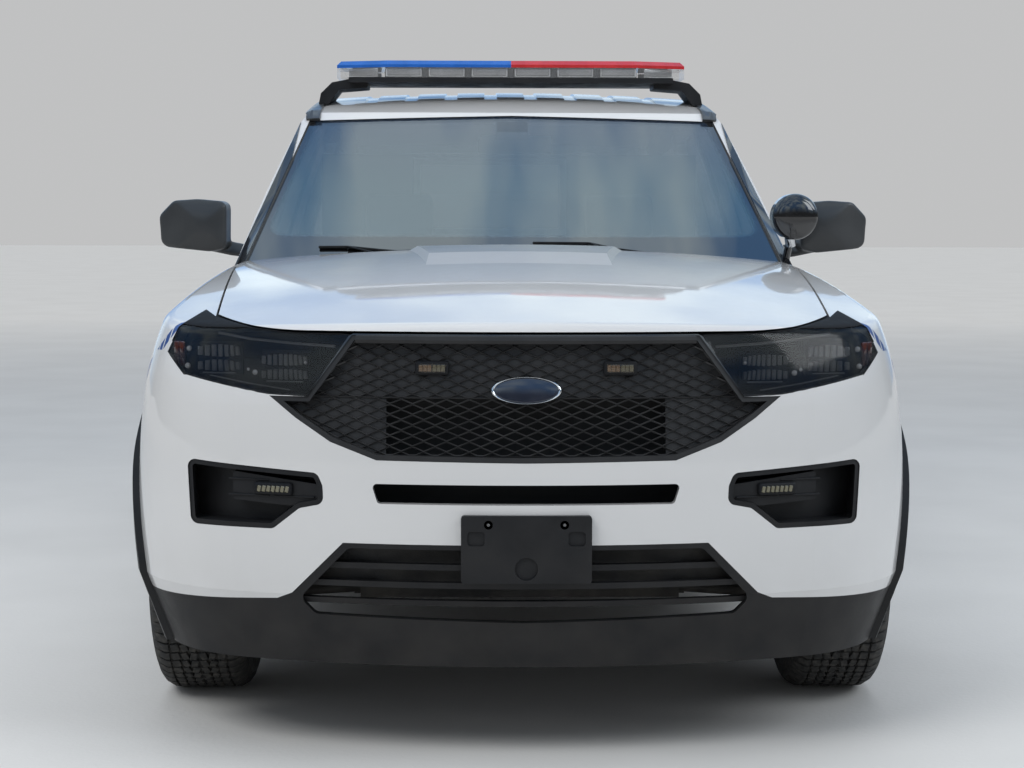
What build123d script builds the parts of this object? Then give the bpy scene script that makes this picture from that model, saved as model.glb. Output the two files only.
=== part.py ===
"""Police patrol car, a sport utility with five doors: body, cabin, chassis and roof light bar.

X runs to the car's left, Y to its rear and Z up, in millimetres.
The origin is on the ground, midway along the car and across it.
"""
import os
from functools import lru_cache
from math import asin, atan2, cos, degrees, hypot, radians, sin, sqrt

from build123d import *

# Overall sizes
LENGTH = 5050.0
BODY_WIDTH = 1970.0
ROOF_HEIGHT = 1762.0
WHEELBASE = 3025.0
FRONT_AXLE_Y = -1630.0
TRACK = 1702.0

# Body outline seen from above
NOSE_RADIUS = 2000.0
NOSE_CORNER_RADIUS = 438.5
TAIL_RADIUS = 3000.0
TAIL_CORNER_RADIUS = 430.0

# Body side section, as a height and how far it lies inside the outline
SECTION_FOOT_Z = 225.0
SECTION_FOOT_INSET = 75.0
SECTION_TURN_Z = 400.0
BELLY_Z = 609.0
BELLY_RADIUS = 1822.0
SHOULDER_START_Z = 850.0
SHOULDER_RADIUS = 704.0
SECTION_TOP_Z = 1262.0
CORE_INSET = 365.0

# Hood surface
HOOD_FRONT_Y = -2450.0
HOOD_FRONT_Z = 1046.0
HOOD_REAR_Y = -1156.0
HOOD_REAR_Z = 1205.0
HOOD_LENGTH_RADIUS = 9300.0
HOOD_CROSS_RADIUS = 6500.0
HOOD_THICKNESS = 26.0
HOOD_EDGE_Z = 1027.0
HOOD_EDGE_FLAT = 520.0
HOOD_EDGE_RADIUS = 1093.0
BULGE_RISE = 12.0
BULGE_Y = (-1600.0, -1400.0)
BULGE_HALF = (246.0, 325.0)
BULGE_SIDE_SLOPE = 1.73

# Glasshouse: windscreen, roof, side and rear surfaces
SCREEN_FOOT_Y = -1010.0
SCREEN_FOOT_Z = 1165.0
HEADER_Y = -324.0
HEADER_Z = 1651.0
SCREEN_RADIUS = 3600.0
ROOF_TOP_Y = 500.0
ROOF_CROSS_RADIUS = 9000.0
ROOF_REAR_Y = 2290.0
ROOF_REAR_Z = 1690.0
BELT_Z = 1090.0
BELT_HALF = 889.0
RAIL_Z = 1650.0
RAIL_HALF = 706.0
SIDE_BARREL = 12.0
ROOF_EDGE_RADIUS = 45.0
REAR_GLASS_FOOT_Y = 2452.0
REAR_GLASS_FOOT_Z = 1100.0
REAR_GLASS_TOP_Y = 2300.0
REAR_GLASS_RADIUS = 4200.0

# Wall depths: outer skin, inner frame and whole wall, below and above the belt
SKIN_LOW = 40.0
SKIN_HIGH = 16.0
SHUT_GAP = 6.0
WALL_LOW = 100.0
WALL_HIGH = 50.0
GLASS_INSET = 6.0
GLASS_THICKNESS = 5.0
FENDER_WALL = 30.0
BUMPER_WALL = 30.0
SEAL_OVERLAP = 20.0
DOOR_STEP = 32.0

# Wheels and tyres
TYRE_DIAMETER = 763.0
TYRE_WIDTH = 255.0
RIM_DIAMETER = 457.0
RIM_WIDTH = 216.0
ARCH_RADIUS = 430.0
FRONT_ARCH_INNER = 500.0
REAR_ARCH_INNER = 660.0
KINGPIN_HALF = 790.0
SEAT_CLEARANCE = 0.3

# Hinges
LEAF_THICKNESS = 2.7
LEAF_HEIGHT = 70.0
LEAF_Z = (480.0, 820.0)
LEAF_INNER_X = 900.0
LEAF_DEPTH = 3.0
HOOD_LEAF_X = (765.0, 815.0)
GATE_LEAF_X = (300.0, 380.0)

# Floor and frame
FLOOR_Z = 300.0
FLOOR_THICKNESS = 40.0
FIREWALL_Y = -960.0
FIREWALL_THICKNESS = 40.0
STEP_Y = 950.0
REAR_FLOOR_Z = 560.0
RAIL_CENTRE = 465.0
RAIL_WIDTH = 70.0
RAIL_HEIGHT = 120.0
RAIL_LOW_Z = 430.0
REAR_RAIL_END_Y = 2360.0
FRONT_RAIL_END_Y = -2405.0
TUNNEL_HALF = 140.0
TUNNEL_TOP_Z = 460.0
PARTITION_Y = (300.0, 322.0)
PARTITION_HALF = 690.0
PARTITION_TOP_Z = 1530.0
PARTITION_WINDOW_X = (-330.0, 190.0)
PARTITION_WINDOW_Z = (1255.0, 1495.0)
ARM_JOINT_HALF = 22.0
TAIL_PIPE_X = 560.0
TAIL_PIPE_Z = 275.0
TAIL_PIPE_RADIUS = 34.0
TAIL_PIPE_CLEARANCE = 12.0

HALF_LENGTH = LENGTH / 2
HALF_WIDTH = BODY_WIDTH / 2
REAR_AXLE_Y = FRONT_AXLE_Y + WHEELBASE
WHEEL_X = TRACK / 2
RAIL_X = (RAIL_CENTRE - RAIL_WIDTH / 2, RAIL_CENTRE + RAIL_WIDTH / 2)
AXLE_Z = TYRE_DIAMETER / 2

# Door, window and lid outlines, in side view as (y, z)
DOOR_LOW_Z = 345.0
DOOR_TOP_Z = 1672.0
DOOR_SPLIT_Y = 150.0
FRONT_DOOR_FRONT_Y = -885.0
PILLAR_SPREAD = 4.0
REAR_ARCH_MARGIN = 68.0
DOOR_SHAPES = {
    "front": [
        (FRONT_DOOR_FRONT_Y, DOOR_LOW_Z),
        (FRONT_DOOR_FRONT_Y - 14, 1062),
        (-800, 1092),
        (-208, 1606),
        (-120, 1652),
        (DOOR_SPLIT_Y - PILLAR_SPREAD, DOOR_TOP_Z - 8),
        (DOOR_SPLIT_Y - PILLAR_SPREAD, DOOR_LOW_Z),
    ],
    "rear": [
        (DOOR_SPLIT_Y + PILLAR_SPREAD, DOOR_LOW_Z),
        (DOOR_SPLIT_Y + PILLAR_SPREAD, DOOR_TOP_Z - 8),
        (900, 1662),
        (1030, 1640),
        (1185, 1120),
        (1160, 960),
        (1160, DOOR_LOW_Z),
    ],
}
WINDOW_SHAPES = {
    "front": [(-672, 1142), (-178, 1571), (-110, 1596), (90, 1608), (90, 1142)],
    "rear": [(214, 1142), (214, 1610), (905, 1594), (985, 1570), (1108, 1150)],
}
QUARTER_WINDOW = [(1240, 1158), (1110, 1585), (1960, 1566), (2120, 1490), (2235, 1180)]
WINDOW_ROUNDING = 18.0

# Windscreen opening in front view as (x, z)
SCREEN_SHAPE = [(0, 1640), (690, 1626), (846, 1150), (840, 1120), (500, 1158), (0, 1168)]
SCREEN_CUT_DEPTH = 60.0

# Liftgate in rear view as (x, z)
GATE_TOP_Y = 2185.0
GATE_LOW_Z = 660.0
GATE_SHAPE = [
    (640, 1800),
    (648, 1650),
    (782, 1150),
    (800, 1000),
    (792, 760),
    (730, GATE_LOW_Z),
]
GATE_WINDOW = [(598, 1600), (722, 1170)]

# Front end outlines in front view as (x, z), given for the car's left
GRILLE_SHAPE = [(412, 1018), (519, 873), (610, 873), (545, 822), (462, 768), (352, 727), (0, 723)]
LAMP_SHAPE = [
    (418, 1018),
    (560, 1019),
    (653, 1028),
    (756, 1045),
    (802, 1060),
    (851, 1024),
    (880, 966),
    (829, 915),
    (719, 894),
    (612, 876),
    (519, 873),
]
LAMP_DEPTH = 90.0
FOG_SHAPE = [(817, 715), (493, 694), (480, 664), (478, 621), (536, 609), (601, 557), (808, 557)]
FOG_BAR_SHAPE = [(700, 690), (484, 664), (484, 621), (560, 612), (700, 622)]
FOG_ROUNDING = 20.0
FOG_RIM = 12.0
INTAKE_ROUNDING = 22.0
SLOT_TOP_HALF = 364.0
SLOT_LOW_HALF = 349.0
SLOT_Z = (625.0, 672.0)
WHITE_EDGE = [(0, 530), (432, 530), (556, 404), (593, 388), (934, 367), (1060, 362)]
INTAKE_SHAPE = [(419, 518), (538, 392), (500, 352), (0, 340)]
SLAT_HEIGHTS = (386.0, 430.0, 474.0)
FENDER_SPLIT = [(-2420, 1300), (-2420, 972), (-2108, 964), (-2062, 800), (-1985, 640), (-1985, 150)]

# Grille mesh
MESH_PITCH_X = 40.0
MESH_PITCH_Z = 24.5
MESH_BAR = 5.0
MESH_OPEN_HALF = 330.0
MESH_OPEN_Z = (735.0, 872.0)
MESH_FOOT_INSET = 16.0
MESH_TOP_INSET = 74.0
MESH_THICKNESS = 6.0
MESH_MARGIN = 8.0
BACKING_THICKNESS = 5.0

# Hood seams, cowl and fender edges
HOOD_SIDE = [(752, -HALF_LENGTH - 80), (756, -2217), (850, -900)]
HOOD_CORNER_Y = -900.0
NOSE_REACH = (-HALF_LENGTH - 100, -1950)
FENDER_REAR_Y = FRONT_DOOR_FRONT_Y - 3
COWL_HALF = 846.0
COWL_DROP = 8.0
COWL_DEPTH = 48.0
POST_DEPTH = COWL_DEPTH + 8.0

# Roof
ROOF_SEAM = 640.0
ROOF_GROOVES = 8
ROOF_GROOVE_PITCH = 140.0
ROOF_GROOVE_WIDTH = 44.0
ROOF_GROOVE_DEPTH = 7.0
ROOF_GROOVE_Y = (-60.0, 2080.0)

# Guards, plates, rear bumper and lamps
HINGE_POST_Y = FIREWALL_Y - FIREWALL_THICKNESS
GUARD_RISE = 15.0
GUARD_Z = (DOOR_LOW_Z, 430.0)
GUARD_WIDTH = 62.0
PLATE_HALF = 153.0
PLATE_Z = (443.0, 602.0)
PLATE_DEPTH = 12.0
PLATE_BOLT_HALF = 89.0
PLATE_BOLT_Z = 581.0
PLATE_BOLT_RADIUS = 3.5
PLATE_BOLT_CLEARANCE = 1.5
REAR_PLATE_Y = 2484.0
REAR_PLATE_BOLT_Z = 900.0
REAR_BUMPER_TOP_Z = GATE_LOW_Z - SHUT_GAP
TAIL_LAMP_SHAPE = [(2215, 1085), (2600, 1100), (2600, 925), (2330, 925)]

# Chassis and wheels
RADIATOR_HALF = 380.0
RADIATOR_Z = (450.0, 840.0)
SUBFRAME_Z = (275.0, 360.0)
ARM_Z = 250.0
UPPER_ARM_Z = 512.0
ARM_SLOT_HALF = 80.0
SPINDLE_RADIUS = 28.0
RIM_SLOTS = 10

# Steering column
COLUMN_START = (400.0, -640.0, 930.0)
WHEEL_HUB = (400.0, -470.0, 1000.0)
WHEEL_HUB_HEIGHT = 40.0

# Door mirror in front view as (x, z)
MIRROR_SHAPE = [
    (908, 1346),
    (1000, 1354),
    (1076, 1349),
    (1126, 1302),
    (1120, 1216),
    (1100, 1202),
    (963, 1188),
    (910, 1198),
]
MIRROR_Y = (-798.0, -655.0)
MIRROR_MIDDLE = (985.0, 1272.0)
MIRROR_RIM = 9.0
MIRROR_ARM_SHAPE = [(830, 1204), (905, 1218), (1010, 1222), (1010, 1196), (905, 1174), (830, 1166)]
MIRROR_ARM_Y = (-690.0, -640.0)

# Roof light bar
BAR_Y = (-130.0, 170.0)
BAR_BASE_Z = 1765.0
BAR_LENS_Z = 1782.0
BAR_COLOUR_Z = 1817.0
BAR_TOP_Z = 1841.0
BAR_HALF = 607.0
BAR_BASE_HALF = 563.0
BAR_FOOT_SHAPE = [
    (500, 1750),
    (500, 1780),
    (563, 1780),
    (625, 1768),
    (664, 1730),
    (672, 1690),
    (640, 1690),
    (600, 1742),
]
BAR_FOOT_Y = (-70.0, 90.0)


def along_x(sketch, low, high):
    """A side view outline (y, z) carried from x = low to x = high."""
    return extrude(Plane.YZ.offset(low) * sketch, high - low, dir=(1, 0, 0))


def along_y(sketch, low, high):
    """A front view outline (x, z) carried from y = low to y = high."""
    return extrude(Plane.XZ.offset(-low) * sketch, high - low, dir=(0, 1, 0))


def along_z(sketch, low, high):
    """A plan outline (x, y) carried from z = low to z = high."""
    return extrude(Plane.XY.offset(low) * sketch, high - low, dir=(0, 0, 1))


def block(x, y, z):
    """A box between pairs of coordinates."""
    size = [abs(pair[1] - pair[0]) for pair in (x, y, z)]
    middle = [(pair[1] + pair[0]) / 2 for pair in (x, y, z)]
    return Location(middle) * Box(*size)


def polygon(points, grow=0.0, rounding=0.0):
    """A closed outline, grown by a margin and with rounded corners."""
    shape = Polygon(*points, align=None)
    if grow:
        shape = offset(shape, grow, kind=Kind.INTERSECTION)
    if rounding:
        shape = fillet(shape.vertices(), rounding)
    return shape


def mirrored(points):
    """A right half outline, from the top middle down, completed on the left."""
    return list(points) + [(-x, z) for x, z in reversed(points) if x]


def rod(start, end, radius):
    """A round bar between two points."""
    start = Vector(*start)
    along = Vector(*end) - start
    plane = Plane(origin=start, z_dir=along)
    return extrude(plane * Circle(radius), along.length)


def mirror_x(shape):
    return mirror(shape, about=Plane.YZ)


def both_sides(shape):
    return Part() + [shape, mirror_x(shape)]


class Corner:
    """One arc of the plan outline that rounds from an end arc into the straight side."""

    def __init__(self, end, end_radius, radius):
        self.end = end
        self.radius = radius
        self.end_radius = end_radius
        self.end_centre = end * (HALF_LENGTH - end_radius)
        self.x = HALF_WIDTH - radius
        reach = end_radius - radius
        self.spread = degrees(asin(self.x / reach))
        self.y = self.end_centre + end * sqrt(reach ** 2 - self.x ** 2)


NOSE = Corner(-1, NOSE_RADIUS, NOSE_CORNER_RADIUS)
TAIL = Corner(1, TAIL_RADIUS, TAIL_CORNER_RADIUS)


def belly_inset(z):
    return BELLY_RADIUS - sqrt(BELLY_RADIUS ** 2 - (z - BELLY_Z) ** 2)


SHOULDER_START = belly_inset(SHOULDER_START_Z)
SHOULDER_SHARE = 1 - SHOULDER_RADIUS / BELLY_RADIUS
SHOULDER_CENTRE_Z = SHOULDER_START_Z + (BELLY_Z - SHOULDER_START_Z) * (1 - SHOULDER_SHARE)
SHOULDER_CENTRE = SHOULDER_START + (BELLY_RADIUS - SHOULDER_START) * (1 - SHOULDER_SHARE)


def side_inset(z):
    """How far the body side lies inside the plan outline at a height."""
    if z < SECTION_TURN_Z:
        share = (z - SECTION_FOOT_Z) / (SECTION_TURN_Z - SECTION_FOOT_Z)
        return SECTION_FOOT_INSET + share * (belly_inset(SECTION_TURN_Z) - SECTION_FOOT_INSET)
    if z < SHOULDER_START_Z:
        return belly_inset(z)
    return SHOULDER_CENTRE - sqrt(SHOULDER_RADIUS ** 2 - (z - SHOULDER_CENTRE_Z) ** 2)


def side_section(depth, reach):
    """The wall section on the XZ plane, with x = 0 on the plan outline."""

    def at(z):
        return (-side_inset(z) - depth, z)

    belly_mid = (SECTION_TURN_Z + SHOULDER_START_Z) / 2
    shoulder_mid = (SHOULDER_START_Z + SECTION_TOP_Z) / 2
    edges = [
        Line(at(SECTION_FOOT_Z), at(SECTION_TURN_Z)),
        ThreePointArc(at(SECTION_TURN_Z), at(belly_mid), at(SHOULDER_START_Z)),
        ThreePointArc(at(SHOULDER_START_Z), at(shoulder_mid), at(SECTION_TOP_Z)),
        Line(at(SECTION_TOP_Z), (-reach, SECTION_TOP_Z)),
        Line((-reach, SECTION_TOP_Z), (-reach, SECTION_FOOT_Z)),
        Line((-reach, SECTION_FOOT_Z), at(SECTION_FOOT_Z)),
    ]
    return Plane.XZ * make_face(edges)


def plan_face(inset):
    """The plan outline, moved inwards."""
    edges = []
    for corner in (NOSE, TAIL):
        turn = radians(corner.spread)
        end_reach = corner.end_radius - inset
        reach = corner.radius - inset
        join_x = end_reach * sin(turn)
        join_y = corner.end_centre + corner.end * end_reach * cos(turn)
        half = radians(corner.spread + 90) / 2
        mid_x = corner.x + reach * sin(half)
        mid_y = corner.y + corner.end * reach * cos(half)
        tip = corner.end * (HALF_LENGTH - inset)
        edges.append(ThreePointArc((-join_x, join_y), (0, tip), (join_x, join_y)))
        for side in (1, -1):
            side_x = side * (HALF_WIDTH - inset)
            edges.append(
                ThreePointArc((side * join_x, join_y), (side * mid_x, mid_y), (side_x, corner.y))
            )
    for side in (1, -1):
        side_x = side * (HALF_WIDTH - inset)
        edges.append(Line((side_x, NOSE.y), (side_x, TAIL.y)))
    return make_face(edges)


def sector(section, centre_x, centre_y, radius, start, sweep):
    """The wall section turned about a vertical axis."""
    turned = revolve(Location((radius, 0, 0)) * section, Axis.Z, sweep)
    return Location((centre_x, centre_y, 0), (0, 0, start)) * turned


@lru_cache(maxsize=None)
def ring_form(depth):
    """The solid inside the body side section, swept round the plan outline."""
    section = side_section(depth, CORE_INSET + 10)
    solids = [along_z(plan_face(CORE_INSET), SECTION_FOOT_Z, SECTION_TOP_Z)]
    for corner in (NOSE, TAIL):
        middle = corner.end * 90
        start = middle - corner.spread
        solids.append(sector(section, 0, corner.end_centre, corner.end_radius, start, 2 * corner.spread))
        turn = 90 - corner.spread
        start = -turn if corner.end < 0 else 0
        wedge = sector(section, corner.x, corner.y, corner.radius, start, turn)
        solids += [wedge, mirror_x(wedge)]
    side = extrude(Location((HALF_WIDTH, TAIL.y, 0)) * section, TAIL.y - NOSE.y)
    solids += [side, mirror_x(side)]
    return Part() + solids


def below_crown(profile, top_z, cross_radius):
    """A side view region (y, z) swept across on a large radius about an axis along Y."""
    axis = Axis((0, 0, top_z - cross_radius), (0, 1, 0))
    face = Plane.YZ * profile
    reach = degrees(asin(1150 / (cross_radius - 400)))
    return revolve(face.rotate(axis, -reach), axis, 2 * reach)


def hood_point(y, depth=0.0):
    """A point (y, z) of the hood's middle line, a depth below its surface."""
    rise = HOOD_REAR_Z - HOOD_FRONT_Z
    run = HOOD_REAR_Y - HOOD_FRONT_Y
    chord = hypot(run, rise)
    slope = atan2(rise, run)
    sag = HOOD_LENGTH_RADIUS - sqrt(HOOD_LENGTH_RADIUS ** 2 - chord ** 2 / 4)
    centre_y = (HOOD_FRONT_Y + HOOD_REAR_Y) / 2 + (HOOD_LENGTH_RADIUS - sag) * sin(slope)
    centre_z = (HOOD_FRONT_Z + HOOD_REAR_Z) / 2 - (HOOD_LENGTH_RADIUS - sag) * cos(slope)
    return (y, centre_z + sqrt((HOOD_LENGTH_RADIUS - depth) ** 2 - (y - centre_y) ** 2))


def hood_form(depth):
    """All that lies below the hood surface."""

    def at(y):
        return hood_point(y, depth)

    front, rear = -HALF_LENGTH - 60, -650
    low = 150
    edges = [
        ThreePointArc(at(front), at((front + rear) / 2), at(rear)),
        Line(at(rear), (HALF_LENGTH + 60, at(rear)[1])),
        Line((HALF_LENGTH + 60, at(rear)[1]), (HALF_LENGTH + 60, low)),
        Line((HALF_LENGTH + 60, low), (front, low)),
        Line((front, low), at(front)),
    ]
    return below_crown(make_face(edges), HOOD_REAR_Z, HOOD_CROSS_RADIUS)


@lru_cache(maxsize=None)
def lower_form(depth, hood_depth=None):
    """The lower body below the hood surface, moved inwards by a depth."""
    return ring_form(depth) & hood_form(depth if hood_depth is None else hood_depth)


@lru_cache(maxsize=None)
def glasshouse_form(depth):
    """The cabin above the belt: roof, sides, windscreen and rear glass surfaces."""
    front_run = ROOF_TOP_Y - HEADER_Y
    front_radius = (front_run ** 2 + (ROOF_HEIGHT - HEADER_Z) ** 2) / (2 * (ROOF_HEIGHT - HEADER_Z))
    rear_run = ROOF_REAR_Y - ROOF_TOP_Y
    rear_radius = (rear_run ** 2 + (ROOF_HEIGHT - ROOF_REAR_Z) ** 2) / (2 * (ROOF_HEIGHT - ROOF_REAR_Z))

    def front_roof(y):
        radius = front_radius - depth
        return (y, ROOF_HEIGHT - front_radius + sqrt(radius ** 2 - (y - ROOF_TOP_Y) ** 2))

    def rear_roof(y):
        radius = rear_radius - depth
        return (y, ROOF_HEIGHT - rear_radius + sqrt(radius ** 2 - (y - ROOF_TOP_Y) ** 2))

    front, rear, low = -700, 2600, 900
    profile = make_face([
        ThreePointArc(front_roof(front), front_roof((front + ROOF_TOP_Y) / 2), front_roof(ROOF_TOP_Y)),
        ThreePointArc(rear_roof(ROOF_TOP_Y), rear_roof((rear + ROOF_TOP_Y) / 2), rear_roof(rear)),
        Line(rear_roof(rear), (rear, low)),
        Line((rear, low), (-1400, low)),
        Line((-1400, low), (-1400, front_roof(front)[1])),
        Line((-1400, front_roof(front)[1]), front_roof(front)),
    ])
    roof = below_crown(profile, ROOF_HEIGHT, ROOF_CROSS_RADIUS)

    lean = atan2(BELT_HALF - RAIL_HALF, RAIL_Z - BELT_Z)
    shift = depth / cos(lean)

    def side_at(z):
        share = (z - BELT_Z) / (RAIL_Z - BELT_Z)
        barrel = SIDE_BARREL * 4 * share * (1 - share)
        return BELT_HALF + share * (RAIL_HALF - BELT_HALF) + barrel - shift

    cross_low, cross_top = 1000, 1800
    right = [(side_at(z), z) for z in (cross_low, (cross_low + cross_top) / 2, cross_top)]
    left = [(-x, z) for x, z in right]
    cross = make_face([
        ThreePointArc(*right),
        Line(right[2], left[2]),
        ThreePointArc(*left),
        Line(left[0], right[0]),
    ])
    sides = along_y(cross, -1400, 2600)

    screen = pane_form(SCREEN_FOOT_Y, SCREEN_FOOT_Z, HEADER_Y, HEADER_Z, SCREEN_RADIUS, depth, -1)
    rear_pane = pane_form(
        REAR_GLASS_FOOT_Y, REAR_GLASS_FOOT_Z, REAR_GLASS_TOP_Y, ROOF_REAR_Z, REAR_GLASS_RADIUS, depth, 1
    )
    return roof & sides & screen & rear_pane


def pane_form(foot_y, foot_z, top_y, top_z, radius, depth, end):
    """What lies behind a sloping pane that is bowed on a radius; end is -1 at the front."""
    up = Vector(0, top_y - foot_y, top_z - foot_z).normalized()
    out = Vector(0, end * up.Z, -end * up.Y)
    plane = Plane(origin=(0, foot_y, foot_z), x_dir=(1, 0, 0), z_dir=up)
    facing = 1 if plane.y_dir.dot(out) > 0 else -1
    reach = radius - depth
    half = 1100.0
    drop = radius - sqrt(reach ** 2 - half ** 2)
    back = facing * -5200
    face = make_face([
        ThreePointArc((-half, -facing * drop), (0, -facing * depth), (half, -facing * drop)),
        Line((half, -facing * drop), (half, back)),
        Line((half, back), (-half, back)),
        Line((-half, back), (-half, -facing * drop)),
    ])
    return extrude(plane * face, 4500, both=True)


def edge_region(drop=0.0):
    """Front view region above the hood's leading edge, lowered by a margin."""
    flat = HOOD_EDGE_FLAT
    end = 1150.0
    z = HOOD_EDGE_Z - drop
    tip = z + HOOD_EDGE_RADIUS - sqrt(HOOD_EDGE_RADIUS ** 2 - (900 - flat) ** 2)
    middle = z + HOOD_EDGE_RADIUS - sqrt(HOOD_EDGE_RADIUS ** 2 - ((900 - flat) / 2) ** 2)
    half = (flat + 900) / 2
    edges = [
        Line((-flat, z), (flat, z)),
        ThreePointArc((flat, z), (half, middle), (900, tip)),
        Line((900, tip), (end, tip)),
        Line((end, tip), (end, 1400)),
        Line((end, 1400), (-end, 1400)),
        Line((-end, 1400), (-end, tip)),
        Line((-end, tip), (-900, tip)),
        ThreePointArc((-900, tip), (-half, middle), (-flat, z)),
    ]
    return along_y(make_face(edges), -HALF_LENGTH - 100, -500)


def hood_region(grow=0.0):
    """Plan region between the side seams and in front of the cowl, grown by a gap."""
    front = HOOD_SIDE[0][1] - grow
    seam = [(x + grow, y) for x, y in HOOD_SIDE]
    rear_y = HOOD_CORNER_Y + grow
    corner_x = seam[2][0]
    edges = [
        Line((-seam[0][0], front), (seam[0][0], front)),
        Line((seam[0][0], front), seam[1]),
        Line(seam[1], (corner_x, rear_y)),
        ThreePointArc((corner_x, rear_y), (0, HOOD_REAR_Y + grow), (-corner_x, rear_y)),
        Line((-corner_x, rear_y), (-seam[1][0], seam[1][1])),
        Line((-seam[1][0], seam[1][1]), (-seam[0][0], front)),
    ]
    return along_z(make_face(edges), 900, 1400)


def arch_form(y, radius, low, high):
    """A round-topped opening over one wheel, down to the ground."""
    outline = make_face([
        ThreePointArc((y - radius, AXLE_Z), (y, AXLE_Z + radius), (y + radius, AXLE_Z)),
        Line((y + radius, AXLE_Z), (y + radius, -100)),
        Line((y + radius, -100), (y - radius, -100)),
        Line((y - radius, -100), (y - radius, AXLE_Z)),
    ])
    return along_x(outline, low, high)


# Forms shared by the panels
F_OUT = fillet(
    [
        edge
        for edge in lower_form(0).edges()
        if edge.geom_type == GeomType.BSPLINE
        and edge.center().Y < NOSE.y
        and edge.center().Z > SHOULDER_START_Z
    ],
    40,
)
G_OUT = fillet(
    [
        edge
        for edge in glasshouse_form(0).edges()
        if edge.center().Z > RAIL_Z and abs(edge.center().X) > RAIL_HALF - 150 and edge.length > 400
    ],
    ROOF_EDGE_RADIUS,
)
SHELL_OUT = F_OUT + G_OUT
SKIN_IN = lower_form(SKIN_LOW) + glasshouse_form(SKIN_HIGH)
FRAME_OUT = lower_form(SKIN_LOW + SHUT_GAP) + glasshouse_form(SKIN_HIGH + SHUT_GAP)
CABIN = lower_form(WALL_LOW) + glasshouse_form(WALL_HIGH)
WALL = SHELL_OUT - CABIN


def wheel_spaces(grow=0.0):
    """The four open wheelhouses."""
    front = arch_form(FRONT_AXLE_Y, ARCH_RADIUS + grow, FRONT_ARCH_INNER - grow, 1200)
    rear = arch_form(REAR_AXLE_Y, ARCH_RADIUS + grow, REAR_ARCH_INNER - grow, 1200)
    return both_sides(front + rear)


WHEEL_SPACES = wheel_spaces()


# Hood, with its raised centre
def bulge_region():
    """Where the hood's middle is raised: between slanted sides, behind a ramp."""
    sections = []
    for y, half in zip((BULGE_Y[0] - 50, HOOD_REAR_Y + 150), BULGE_HALF):
        z = hood_point(y)[1]
        foot_half = half + 60 * BULGE_SIDE_SLOPE
        head_half = half - 60 * BULGE_SIDE_SLOPE
        outline = [(-foot_half, z - 60), (foot_half, z - 60), (head_half, z + 60), (-head_half, z + 60)]
        sections.append(Plane.XZ.offset(-y) * Polygon(*outline, align=None))
    ramp = Polygon(
        hood_point(BULGE_Y[0]),
        hood_point(BULGE_Y[1], -BULGE_RISE - 0.5),
        hood_point(-900, -BULGE_RISE - 80),
        (-900, 900),
        (BULGE_Y[0], 900),
        align=None,
    )
    return loft(sections, ruled=True) & below_crown(ramp, HOOD_REAR_Z, HOOD_CROSS_RADIUS)


def make_hood():
    keep = edge_region() & hood_region()
    raised = (hood_form(-BULGE_RISE) - hood_form(HOOD_THICKNESS)) & bulge_region()
    skin = F_OUT - lower_form(HOOD_THICKNESS + 8, HOOD_THICKNESS)
    return (skin + raised) & keep


# Front panels: one shell, cut by outlines in front view


def nose_cut(points, grow=0.0, rounding=0.0):
    """A front view outline given for one side, carried through the nose on both sides."""
    return both_sides(along_y(polygon(points, grow, rounding), *NOSE_REACH))


def nose_cut_across(points, grow=0.0, rounding=0.0):
    """A front view outline that crosses the middle, given from its top to its foot."""
    return along_y(polygon(mirrored(points), grow, rounding), *NOSE_REACH)


HOOD_CLEAR = edge_region(SHUT_GAP) & hood_region(SHUT_GAP)
LAMP_CUT = nose_cut(LAMP_SHAPE)
GRILLE_CUT = nose_cut_across(GRILLE_SHAPE)
FOG_CUT = nose_cut(FOG_SHAPE, 0, FOG_ROUNDING)
FENDER_REGION = along_x(polygon(FENDER_SPLIT + [(FENDER_REAR_Y, 150), (FENDER_REAR_Y, 1300)]), -1200, 1200)
FRONT_SHELL = (
    (F_OUT - lower_form(FENDER_WALL))
    & block((-1200, 1200), (-HALF_LENGTH - 100, FENDER_REAR_Y), (0, 1400))
) - HOOD_CLEAR - WHEEL_SPACES


def make_fender():
    side = block((740, 1200), (-HALF_LENGTH - 100, FENDER_REAR_Y), (0, 1400))
    cowl = block((-COWL_HALF, COWL_HALF), (HOOD_REAR_Y - 50, FENDER_REAR_Y + 50), (900, 1400))
    panel = (FRONT_SHELL & FENDER_REGION & side) - LAMP_CUT - cowl
    return panel - door_region("front", SHUT_GAP) - G_OUT


def black_region():
    """Front view region below the painted bumper."""
    points = WHITE_EDGE + [(1160, 362), (1160, 100), (0, 100)]
    return nose_cut(points)


def make_bumper_and_valance():
    face = FRONT_SHELL - FENDER_REGION - LAMP_CUT - GRILLE_CUT - FOG_CUT
    nose = block((-1200, 1200), (-HALF_LENGTH - 100, -1985), (0, 1400))
    slot = nose_cut_across([(SLOT_TOP_HALF, SLOT_Z[1]), (SLOT_LOW_HALF, SLOT_Z[0])], 0, 10)
    low = black_region()
    bolt_hole = PLATE_BOLT_RADIUS + PLATE_BOLT_CLEARANCE
    bolts = [
        rod((x, -HALF_LENGTH - 10, PLATE_BOLT_Z), (x, -2400, PLATE_BOLT_Z), bolt_hole)
        for x in (-PLATE_BOLT_HALF, PLATE_BOLT_HALF)
    ]
    bumper = (face & nose) - low - slot - bolts
    intake = nose_cut_across(INTAKE_SHAPE, 0, INTAKE_ROUNDING)
    valance = ((face & nose) & low) - intake
    slat_layer = (lower_form(14) - lower_form(36)) & nose_cut_across(INTAKE_SHAPE, 4)
    slats = [nose_cut_across([(560, z + 7), (560, z - 7)]) & slat_layer for z in SLAT_HEIGHTS]
    return bumper, Part() + [valance] + slats


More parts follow.
